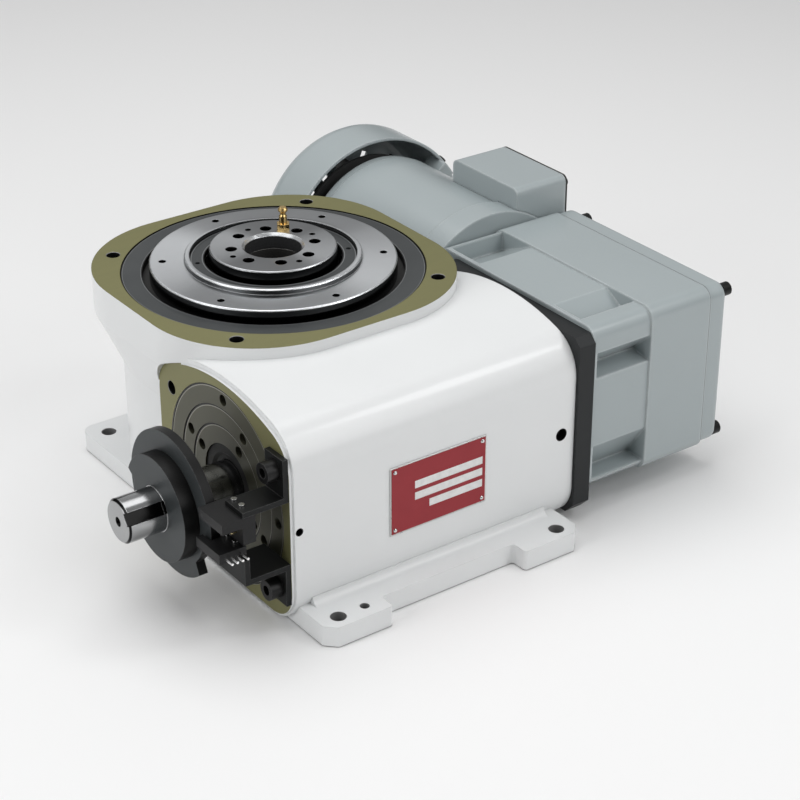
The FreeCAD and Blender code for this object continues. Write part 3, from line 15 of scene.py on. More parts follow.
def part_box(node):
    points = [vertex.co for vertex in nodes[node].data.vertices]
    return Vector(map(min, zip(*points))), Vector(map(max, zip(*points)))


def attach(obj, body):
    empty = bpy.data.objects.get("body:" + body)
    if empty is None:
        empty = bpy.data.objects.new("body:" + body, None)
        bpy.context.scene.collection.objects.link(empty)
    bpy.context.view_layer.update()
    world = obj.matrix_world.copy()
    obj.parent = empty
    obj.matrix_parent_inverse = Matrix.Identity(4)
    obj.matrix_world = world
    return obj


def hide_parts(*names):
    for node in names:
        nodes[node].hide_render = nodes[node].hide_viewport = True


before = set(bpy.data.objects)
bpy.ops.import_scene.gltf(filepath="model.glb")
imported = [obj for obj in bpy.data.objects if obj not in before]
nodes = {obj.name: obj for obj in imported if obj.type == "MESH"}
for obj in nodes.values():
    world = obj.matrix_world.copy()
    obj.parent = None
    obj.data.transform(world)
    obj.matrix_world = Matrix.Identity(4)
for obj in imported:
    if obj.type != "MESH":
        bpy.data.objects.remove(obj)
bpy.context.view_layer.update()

# %% [markdown]
# ## Where the viewer stands
# The photograph looks down on the front left corner. The lens and the place were worked out from
# features whose true spacing is known, such as the four tapped holes in the top face, so the render
# lines up with the picture without any shift of the lens.

# %% Camera
sensor_mm = 36
lens_mm = 95.05
viewer_place = (-0.6571, -1.0429, 0.7104)
towards_viewer = Vector((-0.5172, -0.7127, 0.4739))


def add_object(name, data):
    """Puts data into the scene as an object."""
    made = bpy.data.objects.new(name, data)
    bpy.context.scene.collection.objects.link(made)
    return made


def look_along(direction):
    """The turn that points a camera or a lamp along a direction."""
    return direction.to_track_quat("-Z", "Y").to_euler()


lens = bpy.data.cameras.new("camera")
lens.sensor_width = sensor_mm
lens.lens = lens_mm
camera = add_object("camera", lens)
camera.location = viewer_place
camera.rotation_euler = look_along(-towards_viewer)
bpy.context.scene.camera = camera
bpy.context.scene.view_settings.view_transform = "Standard"
print("camera stands", round(camera.location.length, 3), "m from the middle of the base")

# %% [markdown]
# ## Shader sums that read like sums
# A finish is a small program. Wiring Math nodes by hand hides it, so one class wraps a socket and lets
# plus, minus, times and comparisons add the nodes. Comparisons give 0 or 1, so `|` takes the larger
# value, as "or", and `&` the smaller one, as "and".


# %% Values
def arithmetic(operation, swapped=False):
    """A method that joins two values with one Math node."""

    def combine(self, other):
        first, second = (other, self) if swapped else (self, other)
        return self.finish.node("ShaderNodeMath", {"operation": operation}, {0: first, 1: second})

    return combine


class Value:
    """A shader socket that takes part in plain sums."""

    def __init__(self, finish, socket):
        self.finish = finish
        self.socket = socket

    __add__ = arithmetic("ADD")
    __radd__ = arithmetic("ADD", True)
    __sub__ = arithmetic("SUBTRACT")
    __rsub__ = arithmetic("SUBTRACT", True)
    __mul__ = arithmetic("MULTIPLY")
    __rmul__ = arithmetic("MULTIPLY", True)
    __pow__ = arithmetic("POWER")
    __gt__ = arithmetic("GREATER_THAN")
    __lt__ = arithmetic("LESS_THAN")
    __or__ = arithmetic("MAXIMUM")
    __and__ = arithmetic("MINIMUM")

    def __abs__(self):
        return self.finish.node("ShaderNodeMath", {"operation": "ABSOLUTE"}, {0: self})

    def sine(self):
        return self.finish.node("ShaderNodeMath", {"operation": "SINE"}, {0: self})


# %% [markdown]
# A second class is the finish itself. Its one `node` method makes any node from its settings and its
# inputs, and the short methods after it name what the finishes below ask for again and again.


# %% Finishes
class Finish:
    """A material with one main shader, and the object's own coordinates in metres."""

    def __init__(self, name, **constants):
        self.material = bpy.data.materials.new(name)
        self.material.use_nodes = True
        self.tree = self.material.node_tree
        self.tree.nodes.clear()
        self.shader = self.tree.nodes.new("ShaderNodeBsdfPrincipled")
        output = self.tree.nodes.new("ShaderNodeOutputMaterial")
        self.tree.links.new(self.shader.outputs[0], output.inputs[0])
        self.feed(**constants)
        self.place = self.node("ShaderNodeTexCoord", output="Object")
        self.x, self.y, self.z = (self.along(self.place, axis) for axis in "XYZ")

    def node(self, kind, settings=None, inputs=None, output=0):
        """Makes a node, sets it up, fills its inputs, and returns one output as a value."""
        made = self.tree.nodes.new(kind)
        for name, setting in (settings or {}).items():
            setattr(made, name, setting)
        for name, given in (inputs or {}).items():
            self.fill(made.inputs[name], given)
        return Value(self, made.outputs[output])

    def fill(self, socket, given):
        """Links a value to a socket, or sets the socket to a number or a colour."""
        if isinstance(given, Value):
            self.tree.links.new(given.socket, socket)
        elif hasattr(given, "__len__") and socket.type == "RGBA":
            socket.default_value = (*given, 1.0)
        else:
            socket.default_value = given

    def feed(self, **sockets):
        """Fills the shader's sockets: base_color stands for Base Color."""
        for name, given in sockets.items():
            title = name.replace("_", " ").title().replace("Ior", "IOR")
            self.fill(self.shader.inputs[title], given)

    def along(self, vector, axis):
        """A vector's share along one axis."""
        return self.node("ShaderNodeSeparateXYZ", inputs={0: vector}, output=axis)

    def noise(self, size, detail=3.0, stretch=(1.0, 1.0, 1.0)):
        """Cloudy values from 0 to 1, with clouds of that size in metres."""
        place = self.node("ShaderNodeMapping", inputs={"Vector": self.place, "Scale": stretch})
        inputs = {"Vector": place, "Scale": 1 / size, "Detail": detail}
        return self.node("ShaderNodeTexNoise", inputs=inputs)

    def blend(self, share, first, second):
        """A colour between two colours."""
        return self.node("ShaderNodeMix", {"data_type": "RGBA"}, {0: share, 6: first, 7: second}, 2)

    def rounded(self, radius):
        """Surface directions as if every edge had a small round."""
        return self.node("ShaderNodeBevel", {"samples": 4}, {"Radius": radius})

    def facing(self, axis):
        """How far the true surface looks along an axis, from -1 to 1."""
        return self.along(self.node("ShaderNodeNewGeometry", output="Normal"), axis)

    def edge_share(self, edge_normal):
        """0 on open faces, and more where a rounded edge turns away from the true surface."""
        true_normal = self.node("ShaderNodeNewGeometry", output="Normal")
        pair = {0: edge_normal, 1: true_normal}
        return 1 - self.node("ShaderNodeVectorMath", {"operation": "DOT_PRODUCT"}, pair, 1)

    def relief(self, height, depth, normal):
        """Surface directions tilted by a height from 0 to 1."""
        inputs = {"Height": height, "Distance": depth, "Strength": 1.0, "Normal": normal}
        return self.node("ShaderNodeBump", inputs=inputs)


# %% Helpers for the finishes
def distance(across, along):
    """How far a point is from an axis."""
    return (across * across + along * along) ** 0.5


def turning_marks(radius, spacing):
    """Waves from 0 to 1 round an axis, as a lathe tool leaves them."""
    return (radius * (2 * math.pi / spacing)).sine() * 0.5 + 0.5


def scaled(colour, factor):
    """A colour made darker or brighter."""
    return tuple(factor * part for part in colour)


def put_on(finish, *names):
    """Gives CAD parts this finish."""
    for name in names:
        slots = nodes[name].data.materials
        slots.clear()
        slots.append(finish.material)
    print(finish.material.name, "on", ", ".join(names))


# %% [markdown]
# ## White casting with machined faces
# The housing is cast iron under thick white paint, smooth and glossy with a faint waviness. Two faces
# are machined after painting and keep an olive primer tone: the top, and the pad around the shaft.
# The tapped holes and the underside are bare metal; the walls of the tapped holes and the chamber under
# the cover ring are painted near black as painted shade. All of that is one solid, so the finish works
# out from the place of a point which of the three surfaces it belongs to.

# %% Places on the housing
skin = 0.00015  # a point this close to a face lies on it
beyond = 0.1  # added to a distance, it rules a point out

top_level = 0.146
top_hole_spot = 0.075
top_hole_bottom = 0.1298
chamber_radius = 0.0986
chamber_bottom = 0.1301

shaft_axis_y = -0.100
shaft_axis_z = 0.067
pad_level = -0.1015
pad_top = 0.1375
pad_hole_across = 0.060
pad_hole_up = 0.0396
pad_hole_bottom = -0.06
tapped_radius = 0.0044
mouth_radius = 0.00467

side_depth = -0.14
side_hole_x = -0.0962
side_hole_radius = 0.0026
side_port_x = 0.0996
side_port_radius = 0.0043

foot_top = 0.0135
foot_hole_x = 0.0826
front_foot_y = -0.1899
rear_foot_y = 0.0844
foot_hole_radius = 0.0052
dowel_x = -0.0638
dowel_radius = 0.0032

underside = 0.0002
adapter_face = 0.1098


# %% Surfaces of the housing
def housing_surfaces(cast):
    """Shares of machined faces, of unpainted metal, and of metal painted near black as painted shade."""
    faces_out = cast.facing("X") < -0.995
    on_pad = (abs(cast.x - pad_level) < skin) & faces_out & (cast.z < pad_top)
    machined = (cast.z > top_level - skin) | on_pad

    from_top_hole = distance(abs(cast.x) - top_hole_spot, abs(cast.y) - top_hole_spot)
    from_shaft_y = abs(cast.y - shaft_axis_y)
    from_shaft_z = abs(cast.z - shaft_axis_z)
    from_pad_hole = distance(from_shaft_y - pad_hole_across, from_shaft_z - pad_hole_up)
    from_top_hole = from_top_hole + beyond * (cast.z < top_hole_bottom)
    from_pad_hole = from_pad_hole + beyond * (cast.x > pad_hole_bottom)
    from_hole = from_top_hole & from_pad_hole

    side_hole = distance(cast.x - side_hole_x, cast.z - shaft_axis_z) < side_hole_radius
    side_port = distance(cast.x - side_port_x, cast.z - shaft_axis_z) < side_port_radius
    tapped = (from_hole < tapped_radius) | ((side_hole | side_port) & (cast.y < side_depth))

    foot_across = abs(cast.x) - foot_hole_x
    front_feet = distance(foot_across, cast.y - front_foot_y) < foot_hole_radius
    rear_feet = distance(foot_across, cast.y - rear_foot_y) < foot_hole_radius
    dowel = distance(cast.x - dowel_x, cast.y - front_foot_y) < dowel_radius
    drilled = (front_feet | rear_feet | dowel) & (cast.z < foot_top)

    in_chamber = (cast.z > chamber_bottom) & (cast.z < top_level - skin)
    chamber = (distance(cast.x, cast.y) < chamber_radius) & in_chamber
    mouths = from_hole < mouth_radius
    flat_ends = (cast.z < underside) | (cast.x > adapter_face)
    # The third share, the tapped holes and the chamber, is painted near black: painted shade.
    return machined, tapped | mouths | drilled | chamber | flat_ends, tapped | chamber


# %% Housing
def housing_finish():
    cast = Finish("white_cast_paint", coat_roughness=0.12, ior=1.5)
    machined, metal, hole_shade = housing_surfaces(cast)
    clouds = cast.noise(0.045, 4.0)
    speckle = cast.noise(0.0009, 2.0)
    grinding = cast.noise(0.0007, 2.0, (0.02, 1.0, 1.0))

    white = cast.blend(clouds, (0.745, 0.757, 0.76), (0.775, 0.787, 0.79))
    grain = grinding * 0.8 + speckle * 0.2
    olive = cast.blend(grain, (0.190, 0.183, 0.080), (0.246, 0.237, 0.108))
    # Bare metal is grey; the tapped holes and the chamber are painted near black as painted shade.
    bare_metal_and_hole_shade = cast.blend(hole_shade, (0.30, 0.30, 0.30), (0.006, 0.006, 0.006))
    cast.feed(base_color=cast.blend(metal, cast.blend(machined, white, olive), bare_metal_and_hole_shade))

    paint_rough = 0.28 + clouds * 0.08
    machined_rough = 0.40 + grinding * 0.16
    rough = paint_rough + (machined_rough - paint_rough) * machined
    cast.feed(roughness=rough + (0.5 - rough) * metal)
    cast.feed(metallic=(machined | metal) * 0.5)
    cast.feed(coat_weight=0.25 * (1 - (machined | metal)))

    waves = cast.noise(0.006, 2.0)
    height = waves * (1 - machined) + grinding * machined * 0.4
    cast.feed(normal=cast.relief(height, 0.00003, cast.rounded(0.0009)))
    return cast


put_on(housing_finish(), "housing")

# %% [markdown]
# ## Turned and polished steel
# The output table and the middle hub come off a lathe. Fine circular marks stretch every reflection
# into a bright wedge that turns with the viewer. A shader's anisotropy does exactly that, and because
# its default grain circles the vertical axis of a part, it fits these rings with no further nodes.
# Upright walls and bores are painted darker as painted shade, faces that slope upward are painted
# brighter as a painted highlight, and the walls of the bolt holes are painted black as painted shade.

# %% Output table, hub and bore
bore_edge = 0.0201
hub_holes_inner = 0.0229
hub_holes_outer = 0.0322
table_hole_circle = 0.0706
table_hole_reach = 0.0028
polish = 0.16


def turned_steel(name, colour, rough, marks, edge=0.0008):
    """Lathe-turned steel: even on flat faces, with a painted highlight on sloping faces, and painted
    shade on upright faces and in bolt holes.
    """
    steel = Finish(name, anisotropic=0.92)
    radius = distance(steel.x, steel.y)
    bored = radius < bore_edge
    rings = turning_marks(radius, marks)
    stains = steel.noise(0.02, 4.0)
    upward = abs(steel.facing("Z"))
    flat = upward > 0.98

    # Painted light: upright faces and bores are painted darker as shade, upward-sloping faces brighter
    # as a highlight, and bolt holes black as shade.
    wall_shade = steel.blend(bored, scaled(colour, 0.2), scaled(colour, 0.35))
    off_flat_highlight_and_shade = steel.blend(upward > 0.5, wall_shade, scaled(colour, 1.4))
    hub_holes = (radius > hub_holes_inner) & (radius < hub_holes_outer)
    table_holes = abs(radius - table_hole_circle) < table_hole_reach
    off_flat_highlight_and_shade = steel.blend(hub_holes | table_holes, off_flat_highlight_and_shade, (0.010, 0.010, 0.010))
    faces = steel.blend(stains, colour, scaled(colour, 0.86))
    steel.feed(base_color=steel.blend(flat, off_flat_highlight_and_shade, faces))

    steel.feed(metallic=1.0 - bored * 0.25)
    smooth = polish + (rough - polish) * flat - bored * 0.04
    steel.feed(roughness=smooth + stains * 0.08 + rings * 0.03)
    steel.feed(normal=steel.relief(rings, 0.000004, steel.rounded(edge)))
    return steel


table_steel = turned_steel("turned_steel", (0.54, 0.555, 0.57), rough=0.29, marks=0.0006, edge=0.0014)
hub_steel = turned_steel("turned_hub_steel", (0.37, 0.38, 0.39), rough=0.29, marks=0.0006)
post_steel = turned_steel("bored_steel", (0.45, 0.44, 0.42), rough=0.30, marks=0.0008)
put_on(table_steel, "output_table")
put_on(hub_steel, "center_hub")
put_on(post_steel, "center_post")

# %% [markdown]
# ## Dark rings
# A satin dark grey ring covers the big bearing, and a second one lies inside the output table. They are
# turned too, but blackened, so the grain shows only as a faint sheen. The seals are dull black rubber.

# %% Cover ring, retainer and seals
joint_width = 0.0008


def dark_ring_finish(name, inner, outer, edge):
    """A dark turned ring: black along its joints, with a painted highlight of some width beside them."""
    dark = Finish(name, metallic=0.4, anisotropic=0.5)
    radius = distance(dark.x, dark.y)
    rings = turning_marks(radius, 0.0007)
    smudge = dark.noise(0.016, 4.0)
    # The pale band beside each joint is a painted highlight; the joint itself is a dark line.
    highlight_width = joint_width + edge
    joint = (radius > outer - joint_width) | (radius < inner + joint_width)
    wear_and_highlight = (radius > outer - highlight_width) | (radius < inner + highlight_width)
    coat = dark.blend(smudge, (0.050, 0.055, 0.057), (0.069, 0.074, 0.076))
    coat = dark.blend(wear_and_highlight, coat, (0.22, 0.23, 0.235))
    dark.feed(base_color=dark.blend(joint, coat, (0.004, 0.004, 0.004)))
    dark.feed(roughness=0.40 + smudge * 0.12)
    dark.feed(normal=dark.relief(rings, 0.000004, dark.rounded(0.0005)))
    return dark


def rubber_finish():
    rubber = Finish("seal_rubber", metallic=0.0)
    grain = rubber.noise(0.0008, 3.0)
    rubber.feed(base_color=rubber.blend(grain, (0.012, 0.012, 0.012), (0.022, 0.022, 0.021)))
    rubber.feed(roughness=0.55 + grain * 0.2)
    rubber.feed(normal=rubber.relief(grain, 0.00003, rubber.rounded(0.0004)))
    return rubber


cover_dark = dark_ring_finish("dark_cover_ring", inner=0.0838, outer=0.0974, edge=0.0003)
inner_dark = dark_ring_finish("dark_inner_ring", inner=0.0442, outer=0.0535, edge=0.0006)
put_on(cover_dark, "bearing_cover_ring")
put_on(inner_dark, "inner_retainer")
put_on(rubber_finish(), "output_seal", "shaft_seals", "terminal_gasket")

# %% [markdown]
# ## Steel round the shaft
# The bearing carrier, the adjusting ring and the retainer are dark taupe, with turning marks round the
# shaft's own axis. The rings are told apart by thin dark lines where they meet, each beside a pale line
# that is a painted highlight.
# The shaft is ground bright.

# %% Shaft face
ring_edges = (0.0632, 0.0504, 0.0380)


def shaft_face_finish():
    taupe = Finish("dark_taupe_steel", metallic=0.5)
    radius = distance(taupe.y - shaft_axis_y, taupe.z - shaft_axis_z)
    rings = turning_marks(radius, 0.0008)
    smudge = taupe.noise(0.012, 4.0)
    colour = taupe.blend(smudge, (0.067, 0.066, 0.044), (0.094, 0.092, 0.063))
    for outer in ring_edges:
        # Each ring edge gets a dark joint line and, just inside it, a pale painted highlight.
        highlight_line = abs(radius - outer + 0.0014) < 0.0003
        dark_line = abs(radius - outer + 0.0005) < 0.0006
        colour = taupe.blend(highlight_line, colour, (0.30, 0.29, 0.25))
        colour = taupe.blend(dark_line, colour, (0.006, 0.006, 0.005))
    taupe.feed(base_color=colour)
    taupe.feed(roughness=0.34 + smudge * 0.12 + rings * 0.04)
    taupe.feed(normal=taupe.relief(rings, 0.000008, taupe.rounded(0.0005)))
    return taupe


put_on(shaft_face_finish(), "front_carrier", "front_adjust_ring", "front_retainer", "rear_carrier")

# %% Shaft and inner steel
centre_hole_radius = 0.0031
centre_hole_bottom = -0.16
keyway_radius = 0.01385
keyway_start = -0.1748
keyway_end = -0.1502


def ground_steel(name, colour, rough):
    """Ground steel with marks across the shaft. The centre hole and the keyway of its end are painted
    dark as painted shade.
    """
    steel = Finish(name, metallic=1.0)
    lines = steel.noise(0.0006, 2.0, (1.0, 0.03, 0.03))
    stains = steel.noise(0.018, 4.0)
    clean = steel.blend(stains, colour, scaled(colour, 0.82))
    radius = distance(steel.y - shaft_axis_y, steel.z - shaft_axis_z)
    centre_hole = (radius < centre_hole_radius) & (steel.x < centre_hole_bottom)
    keyway = (radius < keyway_radius) & (steel.x > keyway_start) & (steel.x < keyway_end)
    # The centre hole and the keyway are painted near black as painted shade.
    steel.feed(base_color=steel.blend(centre_hole | keyway, clean, (0.012, 0.012, 0.012)))
    steel.feed(roughness=rough + lines * 0.10)
    steel.feed(normal=steel.relief(lines, 0.000006, steel.rounded(0.0005)))
    return steel


shaft_steel = ground_steel("ground_shaft_steel", (0.42, 0.425, 0.43), rough=0.13)
inner_steel = ground_steel("inner_machine_steel", (0.42, 0.42, 0.43), rough=0.28)
put_on(shaft_steel, "input_shaft", "shaft_key")
put_on(
    inner_steel,
    "bottom_cover", "turret", "roller_gear_cam", "follower_studs", "follower_rollers",
    "output_bearing_outer_race", "output_bearing_inner_race", "cam_bearing_cups", "cam_bearing_cones",
    "gear_output_shaft", "output_gear", "counter_shaft", "crown_gear", "gear_motor_bearings",
    "rotor_shaft",
)

# %% [markdown]
# ## Blackened steel and black plastic
# The timing cams, the sensor brackets and all screws are blackened. Handling rubs such a coat thin along
# the edges, so a little of the metal shows there. Comparing the true surface direction with a rounded
# one finds the edges: they differ only close to one.


# %% Cams, brackets and screws
def blackened(name, colour, worn, rough, wear, rim=None):
    """A black coat, worn along the edges. A rim colour, a painted dark reflection, is for faces that
    don't look along the shaft.
    """
    black = Finish(name, metallic=0.3, specular_ior_level=0.3)
    edge_normal = black.rounded(0.0007)
    patches = black.noise(0.004, 4.0)
    smudge = black.noise(0.014, 4.0)
    grain = black.noise(0.0008, 2.0)
    coat = black.blend(smudge, colour, scaled(colour, 1.3))
    # The rim colour paints a dark reflection on faces that don't look along the shaft.
    if rim:
        coat = black.blend(abs(black.facing("X")) > 0.9, rim, coat)
    wear_and_highlight = black.edge_share(edge_normal) * patches * wear & 1.0
    black.feed(base_color=black.blend(wear_and_highlight, coat, worn))
    black.feed(roughness=rough + smudge * 0.12)
    black.feed(normal=black.relief(grain, 0.000012, edge_normal))
    return black


# The cams' rim colour is near black: a painted dark reflection.
cam_black = blackened(
    "blackened_cam_steel", (0.038, 0.043, 0.045), worn=(0.20, 0.20, 0.20), rough=0.36, wear=2.5,
    rim=(0.004, 0.004, 0.004),
)
bracket_black = blackened(
    "blackened_bracket_steel", (0.007, 0.0075, 0.0075), worn=(0.12, 0.12, 0.12), rough=0.38, wear=4.0
)
screw_black = blackened(
    "black_screw_steel", (0.008, 0.008, 0.008), worn=(0.16, 0.16, 0.16), rough=0.28, wear=3.0
)
plate_black = blackened(
    "black_plate_paint", (0.019, 0.0205, 0.0215), worn=(0.10, 0.10, 0.10), rough=0.40, wear=2.0
)
put_on(cam_black, "timing_cam_front", "timing_cam_rear")
put_on(bracket_black, "sensor_bracket_upper", "sensor_bracket_lower")
put_on(
    screw_black,
    "sensor_bracket_bolts", "front_ring_screws", "adapter_bolts", "gear_case_bolts",
    "bottom_cover_screws", "motor_screws",
)
put_on(plate_black, "adapter_plate")


# %% Sensors and fan
def plastic_finish(name, colour):
    plastic = Finish(name, metallic=0.0, specular_ior_level=0.3)
    grain = plastic.noise(0.0006, 3.0)
    plastic.feed(base_color=plastic.blend(grain, colour, scaled(colour, 1.4)))
    plastic.feed(roughness=0.38 + grain * 0.18)
    plastic.feed(normal=plastic.relief(grain, 0.00002, plastic.rounded(0.0004)))
    return plastic


put_on(plastic_finish("sensor_black_plastic", (0.006, 0.006, 0.0065)), "sensor_upper", "sensor_lower")
put_on(plastic_finish("fan_dark_plastic", (0.05, 0.05, 0.05)), "cooling_fan")

# %% [markdown]
# ## Small bright parts
# A brass grease nipple stands on the hub, bright pins stick out of the sensors and rivets hold the
# nameplate. They are small, so a clean reflection matters more than a pattern. The motor's core and
# windings lie inside and share the same recipe.

# %% Brass, pins, rivets and copper
between_sensors_z = 0.07


def bright_metal(name, colour, rough):
    metal = Finish(name, metallic=1.0)
    tarnish = metal.noise(0.003, 4.0)
    metal.feed(base_color=metal.blend(tarnish, colour, scaled(colour, 0.72)))
    metal.feed(roughness=rough + tarnish * 0.14)
    metal.feed(normal=metal.relief(tarnish, 0.00001, metal.rounded(0.0003)))
    return metal


def contact_finish():
    """Sensor contacts: gold in the upper case, tinned on the lower fork."""
    tin, gold = (0.86, 0.86, 0.86), (0.55, 0.46, 0.26)
    contact = bright_metal("sensor_contact_metal", tin, rough=0.18)
    contact.feed(base_color=contact.blend(contact.z > between_sensors_z, tin, gold))
    return contact


brass = bright_metal("nipple_brass", (0.78, 0.55, 0.23), rough=0.16)
plated = bright_metal("bright_plated_steel", (0.80, 0.80, 0.80), rough=0.16)
core_sheets = bright_metal("core_sheet_steel", (0.35, 0.35, 0.36), rough=0.34)
copper = bright_metal("varnished_copper", (0.62, 0.28, 0.12), rough=0.26)
put_on(brass, "grease_nipple")
put_on(plated, "nameplate_rivets", "sensor_screws")
put_on(contact_finish(), "sensor_pins")
put_on(core_sheets, "rotor_core", "stator_core")
put_on(copper, "stator_windings")

# %% [markdown]
# ## Light blue-grey gear motor paint
# The gear case, the motor and the terminal box share one satin paint over die-cast aluminium. The
# spray leaves a fine pebble in the paint, and the castings a slight unevenness below it. Edges are
# painted a little paler as a painted highlight, and a dark line with a pale painted highlight beside it
# shows where the gear case meets its cover.

# %% Gear motor
cover_joint = 0.2190
joint_half_width = 0.0004
highlight_shift = 0.0010
highlight_half_width = 0.0006
case_back = -0.0142
highlight_paint = (0.60, 0.65, 0.66)


def motor_paint_finish():
    paint = Finish("gear_motor_paint", metallic=0.0, coat_weight=0.7, coat_roughness=0.2)
    clouds = paint.noise(0.05, 4.0)
    pebble = paint.noise(0.0022, 2.0)
    edge_normal = paint.rounded(0.0026)
    on_case = paint.y < case_back
    joint = (abs(paint.x - cover_joint) < joint_half_width) & on_case
    # The pale line beside the joint is a painted highlight; the joint is a dark line.
    wear_and_highlight = (abs(paint.x - cover_joint - highlight_shift) < highlight_half_width) & on_case
    coat = paint.blend(clouds, (0.325, 0.370, 0.380), (0.352, 0.398, 0.408))
    # Edges are painted paler as a painted highlight.
    coat = paint.blend(paint.edge_share(edge_normal) * 5.0 & 1.0, coat, highlight_paint)
    coat = paint.blend(wear_and_highlight * 0.6, coat, highlight_paint)
    paint.feed(base_color=paint.blend(joint, coat, (0.07, 0.08, 0.083)))
    paint.feed(roughness=0.36 + pebble * 0.12)
    paint.feed(normal=paint.relief(pebble, 0.00004, edge_normal))
    return paint


put_on(
    motor_paint_finish(),
    "gear_case", "gear_case_cover", "motor_frame", "motor_end_shield", "fan_cover",
    "terminal_box", "terminal_lid",
)

# %% [markdown]
# ## Nameplate
# A thin red plate with a bright rim is riveted to the side. It carries three blank bars and an empty
# head. The rim is a flat block whose front is inset once and pushed back a little, so that its border
# stands out. The red field lies in that hollow, and the bars lie on the field.


# %% Nameplate
def mesh_from(name, shape):
    """Turns a bmesh into a mesh."""
    mesh = bpy.data.meshes.new(name)
    shape.to_mesh(mesh)
    shape.free()
    return mesh


def link_piece(name, shape, finish):
    """Turns a bmesh into a piece that rides on the frame."""
    mesh = mesh_from(name, shape)
    mesh.materials.append(finish.material)
    piece = add_object(name, mesh)
    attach(piece, "frame")
    print(name, "has", len(mesh.polygons), "faces")
    return piece


def block(low, high, round_edges):
    """A block between two corners with rounded edges."""
    low, high = Vector(low), Vector(high)
    place = Matrix.Translation((low + high) / 2) @ Matrix.Diagonal((*(high - low), 1.0))
    shape = bmesh.new()
    bmesh.ops.create_cube(shape, size=1.0, matrix=place)
    bmesh.ops.bevel(
        shape, geom=shape.edges[:], offset=round_edges, offset_type="OFFSET", affect="EDGES",
        segments=2, profile=0.5, material=-1,
    )
    return shape


def plate_finish():
    red = Finish("dark_red_plate", metallic=0.0, specular_ior_level=0.3)
    clouds = red.noise(0.010, 4.0)
    grain = red.noise(0.0012, 2.0)
    red.feed(base_color=red.blend(clouds, (0.270, 0.020, 0.027), (0.320, 0.030, 0.038)))
    red.feed(roughness=0.42 + clouds * 0.12)
    red.feed(normal=red.relief(grain, 0.000015, red.rounded(0.0002)))
    return red


# %% Rim and red field
rim_width = 0.0009
hollow_depth = 0.00025
field_depth = 0.00012
field_back = 0.0004
front_area = 0.001

plate_low, plate_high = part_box("nameplate")
plate_rim = block(plate_low, plate_high, 0.0002)
front = [face for face in plate_rim.faces if face.normal.y < -0.9 and face.calc_area() > front_area]
bmesh.ops.inset_region(plate_rim, faces=front, thickness=rim_width)
front_corners = list({corner for face in front for corner in face.verts})
bmesh.ops.translate(plate_rim, verts=front_corners, vec=(0, hollow_depth, 0))
bright_rim = bright_metal("plate_rim_metal", (0.75, 0.75, 0.74), rough=0.22)
nameplate = link_piece("nameplate_rim", plate_rim, bright_rim)
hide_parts("nameplate")

field_front = plate_low.y + field_depth
field_low = (plate_low.x + rim_width, field_front, plate_low.z + rim_width)
field_high = (plate_high.x - rim_width, plate_low.y + field_back, plate_high.z - rim_width)
red_field = block(field_low, field_high, 0.00006)
link_piece("nameplate_field", red_field, plate_finish())

# %% Blank bars on the nameplate
bar_rows = ((0.25, 0.30, 0.41), (0.25, 0.47, 0.58), (0.40, 0.64, 0.75))
bar_end = 0.955
bar_front = plate_low.y + 0.00004
bar_back = field_front + 0.0002
plate_width = plate_high.x - plate_low.x
plate_height = plate_high.z - plate_low.z
pale_bar = bright_metal("blank_bar_metal", (0.86, 0.86, 0.85), rough=0.34)
pale_bar.feed(metallic=0.35)
for number, (left, upper, lower) in enumerate(bar_rows, 1):
    bar_low = (plate_low.x + left * plate_width, bar_front, plate_high.z - lower * plate_height)
    bar_high = (plate_low.x + bar_end * plate_width, bar_back, plate_high.z - upper * plate_height)
    link_piece(f"nameplate_bar_{number}", block(bar_low, bar_high, 0.00003), pale_bar)

# %% [markdown]
# ## Floor and light
# The setting is a plain pale floor under soft light. One large panel above gives the tops their
# brightness, one on the right of the viewer and one on the left fill the sides, and a small one draws a
# bright line along the rounded edges. The world is dark near the horizon and behind the viewer, so
# that turned steel has something dark to reflect beside the bright sky.

# %% Floor
floor_level = -0.0004
floor_half = 6.0

floor_shape = bmesh.new()
floor_place = Matrix.Translation((0, 0, floor_level))
bmesh.ops.create_grid(floor_shape, x_segments=1, y_segments=1, size=floor_half, matrix=floor_place)
floor = add_object("floor", mesh_from("floor", floor_shape))
floor_finish = Finish("pale_floor", base_color=(0.86, 0.86, 0.86), roughness=0.7)
floor.data.materials.append(floor_finish.material)

# %% World
sky_shades = ((0.02, 0.10), (0.22, 0.14), (0.38, 0.72), (0.56, 0.85), (0.75, 0.50), (0.95, 0.60))
viewer_heading = (-0.587, -0.809, 0.0)
dimming = {"From Min": 0.40, "From Max": 0.72, "To Min": 0.66, "To Max": 0.06}

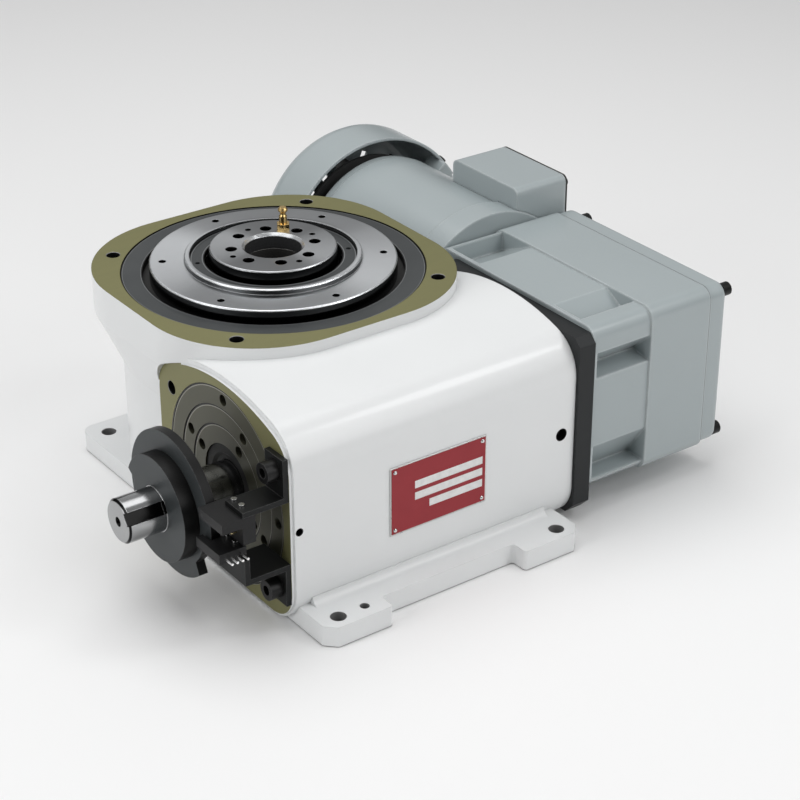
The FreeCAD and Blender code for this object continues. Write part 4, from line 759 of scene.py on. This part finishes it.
world = bpy.data.worlds.new("studio")
bpy.context.scene.world = world
world.use_nodes = True
sky = world.node_tree
sky.nodes.clear()
direction = sky.nodes.new("ShaderNodeTexCoord")
height = sky.nodes.new("ShaderNodeSeparateXYZ")
ramp = sky.nodes.new("ShaderNodeValToRGB")
viewer_side = sky.nodes.new("ShaderNodeVectorMath")
dimmed = sky.nodes.new("ShaderNodeMapRange")
glow = sky.nodes.new("ShaderNodeBackground")
result = sky.nodes.new("ShaderNodeOutputWorld")
while len(ramp.color_ramp.elements) < len(sky_shades):
    ramp.color_ramp.elements.new(0.5)
for stop, (height_share, grey) in zip(ramp.color_ramp.elements, sky_shades):
    stop.position = height_share
    stop.color = (grey, grey, grey, 1)
viewer_side.operation = "DOT_PRODUCT"
viewer_side.inputs[1].default_value = viewer_heading
for limit, number in dimming.items():
    dimmed.inputs[limit].default_value = number
sky.links.new(direction.outputs["Generated"], height.inputs[0])
sky.links.new(height.outputs["Z"], ramp.inputs[0])
sky.links.new(ramp.outputs[0], glow.inputs["Color"])
sky.links.new(direction.outputs["Generated"], viewer_side.inputs[0])
sky.links.new(viewer_side.outputs["Value"], dimmed.inputs["Value"])
sky.links.new(dimmed.outputs[0], glow.inputs["Strength"])
sky.links.new(glow.outputs[0], result.inputs[0])
print("sky has", len(sky_shades), "shades")


# %% Lamps
def panel(name, place, aim, size, power):
    """A soft square lamp at a place, turned towards a point."""
    data = bpy.data.lights.new(name, "AREA")
    data.size = size
    data.energy = power
    lamp = add_object(name, data)
    lamp.location = place
    lamp.rotation_euler = look_along(Vector(aim) - Vector(place))
    print(name, "gives", power, "W")


panel("top_panel", place=(-0.1, 0.3, 1.6), aim=(0.05, 0, 0.1), size=1.6, power=15.8)
panel("front_panel", place=(0.4, -1.6, 0.9), aim=(0.05, -0.05, 0.08), size=1.2, power=9.4)
panel("left_panel", place=(-1.6, -0.1, 0.7), aim=(0, 0, 0.08), size=1.0, power=9.1)
panel("edge_panel", place=(0.80, -0.75, 1.2), aim=(0.1, -0.05, 0.1), size=0.35, power=2.5)
